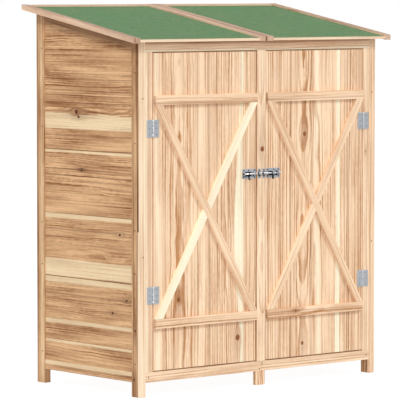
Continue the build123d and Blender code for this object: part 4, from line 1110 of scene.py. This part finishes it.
# a hinge: the frame leaf with knuckles 1, 3 and 5 and the pin, the door leaf with 2 and 4
frame_leaf = Metal()
frame_screws = Metal()
frame_barrels = Metal()
for s in (-1, 1):
    for zc in (LOWER_HINGE_Z, UPPER_HINGE_Z):
        z0 = zc - HINGE_H / 2
        a, b = sorted((s * (HINGE_X + 4.5), s * (HINGE_X + LEAF_REACH)))
        corners = (True, False, False, True) if s < 0 else (False, True, True, False)
        frame_leaf.outline(rounded(a, b, z0, z0 + HINGE_H, 3.2, 5, corners), "xz", Y_FRONT - LEAF_T, Y_FRONT, 0.35)
        for k in (0, 2, 4):
            za = z0 + k * KN + (0.4 if k else 0)
            zb = z0 + (k + 1) * KN - (0.4 if k < 4 else 0)
            h = zb - za
            frame_barrels.lathe([(0, 0), (KNUCKLE_R - 0.4, 0), (KNUCKLE_R, 0.4), (KNUCKLE_R, h - 0.4), (KNUCKLE_R - 0.4, h), (0, h)], (s * HINGE_X, HINGE_Y, za), (0, 0, 1))
            a, b = sorted((s * (HINGE_X + 0.6), s * (HINGE_X + 5.2)))
            frame_leaf.outline([(a, za), (b, za), (b, zb), (a, zb)], "xz", Y_FRONT - LEAF_T, Y_FRONT, 0.2, 1)
        frame_barrels.lathe([(0, 0), (PIN_R, 0), (PIN_R, HINGE_H), (0, HINGE_H)], (s * HINGE_X, HINGE_Y, z0), (0, 0, 1), 16)
        for i, dz in enumerate((-23.0, 0.0, 23.0)):
            frame_screws.screw((s * (HINGE_X + 18.0), Y_FRONT - LEAF_T, zc + dz), 3.6, 0.3 + 0.7 * i + s, 0.5)
frame_leaf.finish("frame_hinge_plates", "shed_body", ZINC, ["frame_hinge_leaves"])
frame_screws.finish("frame_hinge_screws", "shed_body", HEADS)
frame_barrels.finish("frame_hinge_barrels", "shed_body", BARREL)

for s, word in ((-1, "left"), (1, "right")):
    leaf, screws, barrels = Metal(), Metal(), Metal()
    for zc in (LOWER_HINGE_Z, UPPER_HINGE_Z):
        z0 = zc - HINGE_H / 2
        a, b = sorted((s * (HINGE_X - 4.5), s * (HINGE_X - LEAF_REACH)))
        corners = (False, True, True, False) if s < 0 else (True, False, False, True)
        leaf.outline(rounded(a, b, z0, z0 + HINGE_H, 3.2, 5, corners), "xz", Y_FRONT - LEAF_T, Y_FRONT, 0.35)
        for k in (1, 3):
            za, zb = z0 + k * KN + 0.4, z0 + (k + 1) * KN - 0.4
            h = zb - za
            # a sleeve round the pin
            prof = [(PIN_R + 0.15, 0), (KNUCKLE_R - 0.35, 0), (KNUCKLE_R, 0.4), (KNUCKLE_R, h - 0.4), (KNUCKLE_R - 0.35, h), (PIN_R + 0.15, h), (PIN_R + 0.15, 0)]
            bm = bmesh.new()
            seg = 28
            rings = [[bm.verts.new((r * math.cos(2 * math.pi * q / seg), r * math.sin(2 * math.pi * q / seg), hh)) for q in range(seg)] for r, hh in prof[:-1]]
            for i in range(len(rings)):
                p, q2 = rings[i], rings[(i + 1) % len(rings)]
                for q in range(seg):
                    j = (q + 1) % seg
                    bm.faces.new((p[q], p[j], q2[j], q2[q]))
            bmesh.ops.recalc_face_normals(bm, faces=bm.faces)
            for f in bm.faces:
                f.smooth = True
            barrels._take(bm, Matrix.Translation((s * HINGE_X, HINGE_Y, za)))
            a, b = sorted((s * (HINGE_X - 2.6), s * (HINGE_X - 5.2)))
            leaf.outline([(a, za), (b, za), (b, zb), (a, zb)], "xz", Y_FRONT - LEAF_T, Y_FRONT, 0.2, 1)
        for i, dz in enumerate((-23.0, 0.0, 23.0)):
            screws.screw((s * (HINGE_X - 18.0), Y_FRONT - LEAF_T, zc + dz), 3.6, 0.9 + 0.5 * i + s, 0.5)
    leaf.finish(f"{word}_door_hinge_plates", f"{word}_door", ZINC, [f"{word}_door_hinge_leaves"])
    screws.finish(f"{word}_door_hinge_screws", f"{word}_door", HEADS)
    barrels.finish(f"{word}_door_hinge_barrels", f"{word}_door", BARREL)

# ---- barrel bolts ----------------------------------------------------------
STRAP_R = 3.56 + 1.5
HANDLE_DROP = 21.0


def hood(metal, x0, length, foot_y, inner, outer):
    """a strap that goes over the rod, as an arch of sheet with two feet on the plate"""
    outer_pts, inner_pts = [], []
    seg = 14
    for k in range(seg + 1):
        a = -math.pi / 2 + math.pi * k / seg
        outer_pts.append((ROD_Y - outer * math.cos(a), BOLT_Z + outer * math.sin(a)))
        inner_pts.append((ROD_Y - inner * math.cos(a), BOLT_Z + inner * math.sin(a)))
    pts = [(foot_y, BOLT_Z - outer)] + outer_pts + [(foot_y, BOLT_Z + outer), (foot_y, BOLT_Z + inner)] + inner_pts[::-1] + [(foot_y, BOLT_Z - inner)]
    metal.outline(pts, "yz", x0, x0 + length, 0.25, 1)


for s, word, straps, knob in (
    (-1, "left", ((-98.0, 8.0), (-52.0, 7.0), (-37.0, 7.0)), -74.0),
    (1, "right", ((30.0, 5.0), (62.0, 8.0), (90.0, 8.0)), 54.0),
):
    plate, screws, rod, channel = Metal(), Metal(), Metal(), Metal()
    a, b = sorted((s * PLATE_X0, s * PLATE_X1))
    plate.outline(rounded(a, b, BOLT_Z - PLATE_H / 2, BOLT_Z + PLATE_H / 2, 4.0, 5), "xz", Y_FRONT - PLATE_T, Y_FRONT, 0.35)
    for x0, length in straps:
        hood(plate, x0, length, Y_FRONT - PLATE_T, 3.62, STRAP_R)
        for dz in (-1, 1):
            plate.outline([(x0, BOLT_Z + dz * 4.4), (x0 + length, BOLT_Z + dz * 4.4), (x0 + length, BOLT_Z + dz * 9.0), (x0, BOLT_Z + dz * 9.0)][::dz],
                          "xz", Y_FRONT - PLATE_T - 1.1, Y_FRONT - PLATE_T, 0.3, 1)
    # the pressed channel that the rod slides in, coloured near black as painted shade under the rod
    channel.outline(rounded(a + 1.5, b - 1.5, BOLT_Z - 10.5, BOLT_Z + 8.0, 2.0, 4), "xz", Y_FRONT - PLATE_T - 0.35, Y_FRONT - PLATE_T + 0.1, 0.12, 1)
    for x in (a + 7, (a + b) / 2 + 3 * s, b - 7):
        for dz in (-14.0, 14.0):
            screws.screw((x, Y_FRONT - PLATE_T, BOLT_Z + dz), 3.2, x * 0.7 + dz, 0.5)
    tip, tail = s * 24.5, s * 96.0
    prof = [(0, 0), (ROD_R - 1.3, 0.2), (ROD_R - 0.4, 1.2), (ROD_R, 2.6), (ROD_R, 70.3), (ROD_R - 0.6, 71.3), (0, 71.5)]
    rod.lathe(prof, (tip, ROD_Y, BOLT_Z), (s, 0, 0), 32)
    # the handle is in the near-black steel as painted shadow of the knob
    grip = Metal()
    grip.outline(rounded(knob - 2.6, knob + 2.6, BOLT_Z - HANDLE_DROP - 2.6, BOLT_Z + 5.0, 1.8, 4), "xz", ROD_Y - 3.4, ROD_Y - 1.0, 0.6)
    grip.lathe([(0, 0), (2.2, 0), (2.0, 2.0), (2.0, 5.0), (2.5, 6.5), (2.6, 8.6), (1.9, 10.4), (0, 10.8)], (knob, ROD_Y - 1.2, BOLT_Z - HANDLE_DROP), (0, -1, 0), 24)
    plate.finish(f"{word}_bolt_backplate", f"{word}_door", ZINC, [f"{word}_bolt_plate"])
    screws.finish(f"{word}_bolt_screws", f"{word}_door", SCREW)
    channel.finish(f"{word}_bolt_channel", f"{word}_door", SHADE_STEEL)
    rod.finish(f"{word}_bolt_slide_rod", f"{word}_bolt", BRIGHT, [f"{word}_bolt_rod"])
    grip.finish(f"{word}_bolt_handle", f"{word}_bolt", SHADE_STEEL)

keeper = Metal()
kscrew = Metal()
y_face = Y_FRONT - COVER_T
for x0, length in ((-20.0, 16.0), (4.0, 16.0)):
    keeper.outline(rounded(x0, x0 + length, BOLT_Z - PLATE_H / 2, BOLT_Z + PLATE_H / 2, 3.0, 4), "xz", y_face - 1.2, y_face, 0.3)
    hood(keeper, x0, length, y_face - 1.2, 4.0, STRAP_R + 0.3)
    for dz in (-13.5, 13.5):
        kscrew.screw((x0 + length / 2, y_face - 1.2, BOLT_Z + dz), 3.0, x0 + dz, 0.5)
# near-black sheets set in the keepers are painted shade in their bores
keeper_shade_slot = Metal()
for x0, length in ((-20.0, 16.0), (4.0, 16.0)):
    keeper_shade_slot.outline(rounded(x0 + 1.2, x0 + length - 1.2, BOLT_Z - 10.0, BOLT_Z + 8.0, 1.5, 4), "xz", y_face - 1.2 - 0.35, y_face - 1.2 + 0.1, 0.12, 1)
keeper_shade_slot.finish("bolt_keeper_shade_slots", "shed_body", SHADE_STEEL)
keeper.finish("bolt_keeper_plates", "shed_body", ZINC, ["bolt_keepers"])
kscrew.finish("bolt_keeper_screws", "shed_body", SCREW)


# ---- nails -----------------------------------------------------------------
def nails(name, body, points, out):
    m = Metal()
    for i, p in enumerate(points):
        m.screw(p, 2.7, 0.5 + i * 1.1, 0.9, out)
    m.finish(name, body, NAIL)


zs = (132.0, 492.0, 664.0, 1040.0, 1300.0)
left_pts = [(-640.0, STILE_Y0 + 17.0, z) for z in (132.0, 493.0, 665.0, 1012.0, 1292.0)] + [(-640.0, BSTILE_Y0 + 14.0, z) for z in (132.0, 493.0, 665.0, 1060.0, 1380.0)]
nails("left_wall_nails", "shed_body", left_pts, (-1, 0, 0))
nails("right_wall_nails", "shed_body", [(-x, y, z) for x, y, z in left_pts], (1, 0, 0))
front_pts = [(s * 594.0, Y_FRONT, z) for s in (-1,) for z in (78.0,)] + [(594.0, Y_FRONT, 78.0), (-6.0, Y_FRONT, 68.0), (8.0, Y_FRONT, 88.0)]
front_pts += [(s * 622.0, Y_FRONT, z) for s in (-1, 1) for z in (1190.0, 560.0)]
nails("front_nails", "shed_body", front_pts, (0, -1, 0))
nails("back_nails", "shed_body", [(s * 624.0, Y_BACK, z) for s in (-1, 1) for z in (132.0, 493.0, 1040.0, 1420.0)] + [(s * 590.0, Y_BACK, 78.0) for s in (-1, 1)] + [(0.0, Y_BACK, z) for z in (300.0, 700.0, 1100.0)], (0, 1, 0))

# ------------------------------------------------------------------ stage, light, camera
floor_mesh = bpy.data.meshes.new("studio_floor")
R = 40.0
floor_mesh.from_pydata([(-R, -R, 0), (R, -R, 0), (R, R, 0), (-R, R, 0)], [], [(0, 1, 2, 3)])
floor_ob = bpy.data.objects.new("studio_floor", floor_mesh)
bpy.context.scene.collection.objects.link(floor_ob)
fm, ft, fb, fnet = new_material("studio_paper")
fb.inputs["Base Color"].default_value = (0.08, 0.08, 0.08, 1)
fb.inputs["Roughness"].default_value = 0.9
fb.inputs["Specular IOR Level"].default_value = 0.0
fb.inputs["Emission Color"].default_value = (1, 1, 1, 1)
fnet.put(fb.inputs["Emission Strength"], 0.64 + Sock(fnet, fnet.node("ShaderNodeLightPath").outputs["Is Camera Ray"]) * 0.32)
floor_mesh.materials.append(fm)

# the world: brighter overhead than at the horizon, and seen as plain white paper
world = bpy.data.worlds.new("studio")
bpy.context.scene.world = world
world.use_nodes = True
wt = world.node_tree
wt.nodes.clear()
wn = Net(wt)
wout = wn.node("ShaderNodeOutputWorld")
bg_light = wn.node("ShaderNodeBackground")
bg_seen = wn.node("ShaderNodeBackground")
wmix = wn.node("ShaderNodeMixShader")
lp = wn.node("ShaderNodeLightPath")
wt.links.new(lp.outputs["Is Camera Ray"], wmix.inputs[0])
wt.links.new(bg_light.outputs[0], wmix.inputs[1])
wt.links.new(bg_seen.outputs[0], wmix.inputs[2])
wt.links.new(wmix.outputs[0], wout.inputs[0])
wc = wn.node("ShaderNodeTexCoord")
wsep = wn.node("ShaderNodeSeparateXYZ")
wt.links.new(wc.outputs["Generated"], wsep.inputs[0])
sky = wn.smooth(Sock(wn, wsep.outputs[2]), 0.02, 0.75)
bg_light.inputs[0].default_value = (1.0, 1.0, 1.0, 1)
wn.put(bg_light.inputs[1], 0.16 + sky * 0.42)
bg_seen.inputs[0].default_value = (1, 1, 1, 1)
bg_seen.inputs[1].default_value = 1.0


def sun(name, direction, strength, angle, colour=(1, 1, 1)):
    d = bpy.data.lights.new(name, "SUN")
    d.energy, d.angle, d.color = strength, math.radians(angle), colour
    o = bpy.data.objects.new(name, d)
    o.rotation_euler = Vector(direction).to_track_quat("-Z", "Y").to_euler()
    bpy.context.scene.collection.objects.link(o)


sun("key", (-0.50, 0.80, -0.90), 1.45, 12)
sun("front_fill", (0.58, 0.76, -0.44), 0.48, 16)
sun("low_fill", (0.58, 0.80, -0.10), 0.36, 10)
sun("side_fill", (0.9, 0.12, -0.84), 1.05, 10)
sun("back_fill", (-0.4, -0.9, -0.6), 1.0, 30)

cam_data = bpy.data.cameras.new("camera")
cam = bpy.data.objects.new("camera", cam_data)
bpy.context.scene.collection.objects.link(cam)
cam_data.sensor_width = 36.0
cam_data.sensor_fit = "HORIZONTAL"
cam_data.lens = 279.55
cam_data.shift_x = -0.001385
cam_data.shift_y = -0.01873
cam_data.clip_start, cam_data.clip_end = 0.1, 200.0
cam_data.dof.use_dof = False
yaw, pitch, roll = math.radians(40.196), math.radians(-3.836), math.radians(0.016)
fwd = Vector((math.sin(yaw) * math.cos(pitch), math.cos(yaw) * math.cos(pitch), math.sin(pitch)))
right = fwd.cross(Vector((0, 0, 1))).normalized()
up = right.cross(fwd)
r2 = math.cos(roll) * right + math.sin(roll) * up
u2 = -math.sin(roll) * right + math.cos(roll) * up
cam.matrix_world = Matrix((
    (r2.x, u2.x, -fwd.x, -8.37242),
    (r2.y, u2.y, -fwd.y, -9.85771),
    (r2.z, u2.z, -fwd.z, 1.64200),
    (0, 0, 0, 1),
))
bpy.context.scene.camera = cam
bpy.context.scene.view_settings.view_transform = "Standard"
bpy.context.scene.view_settings.look = "None"
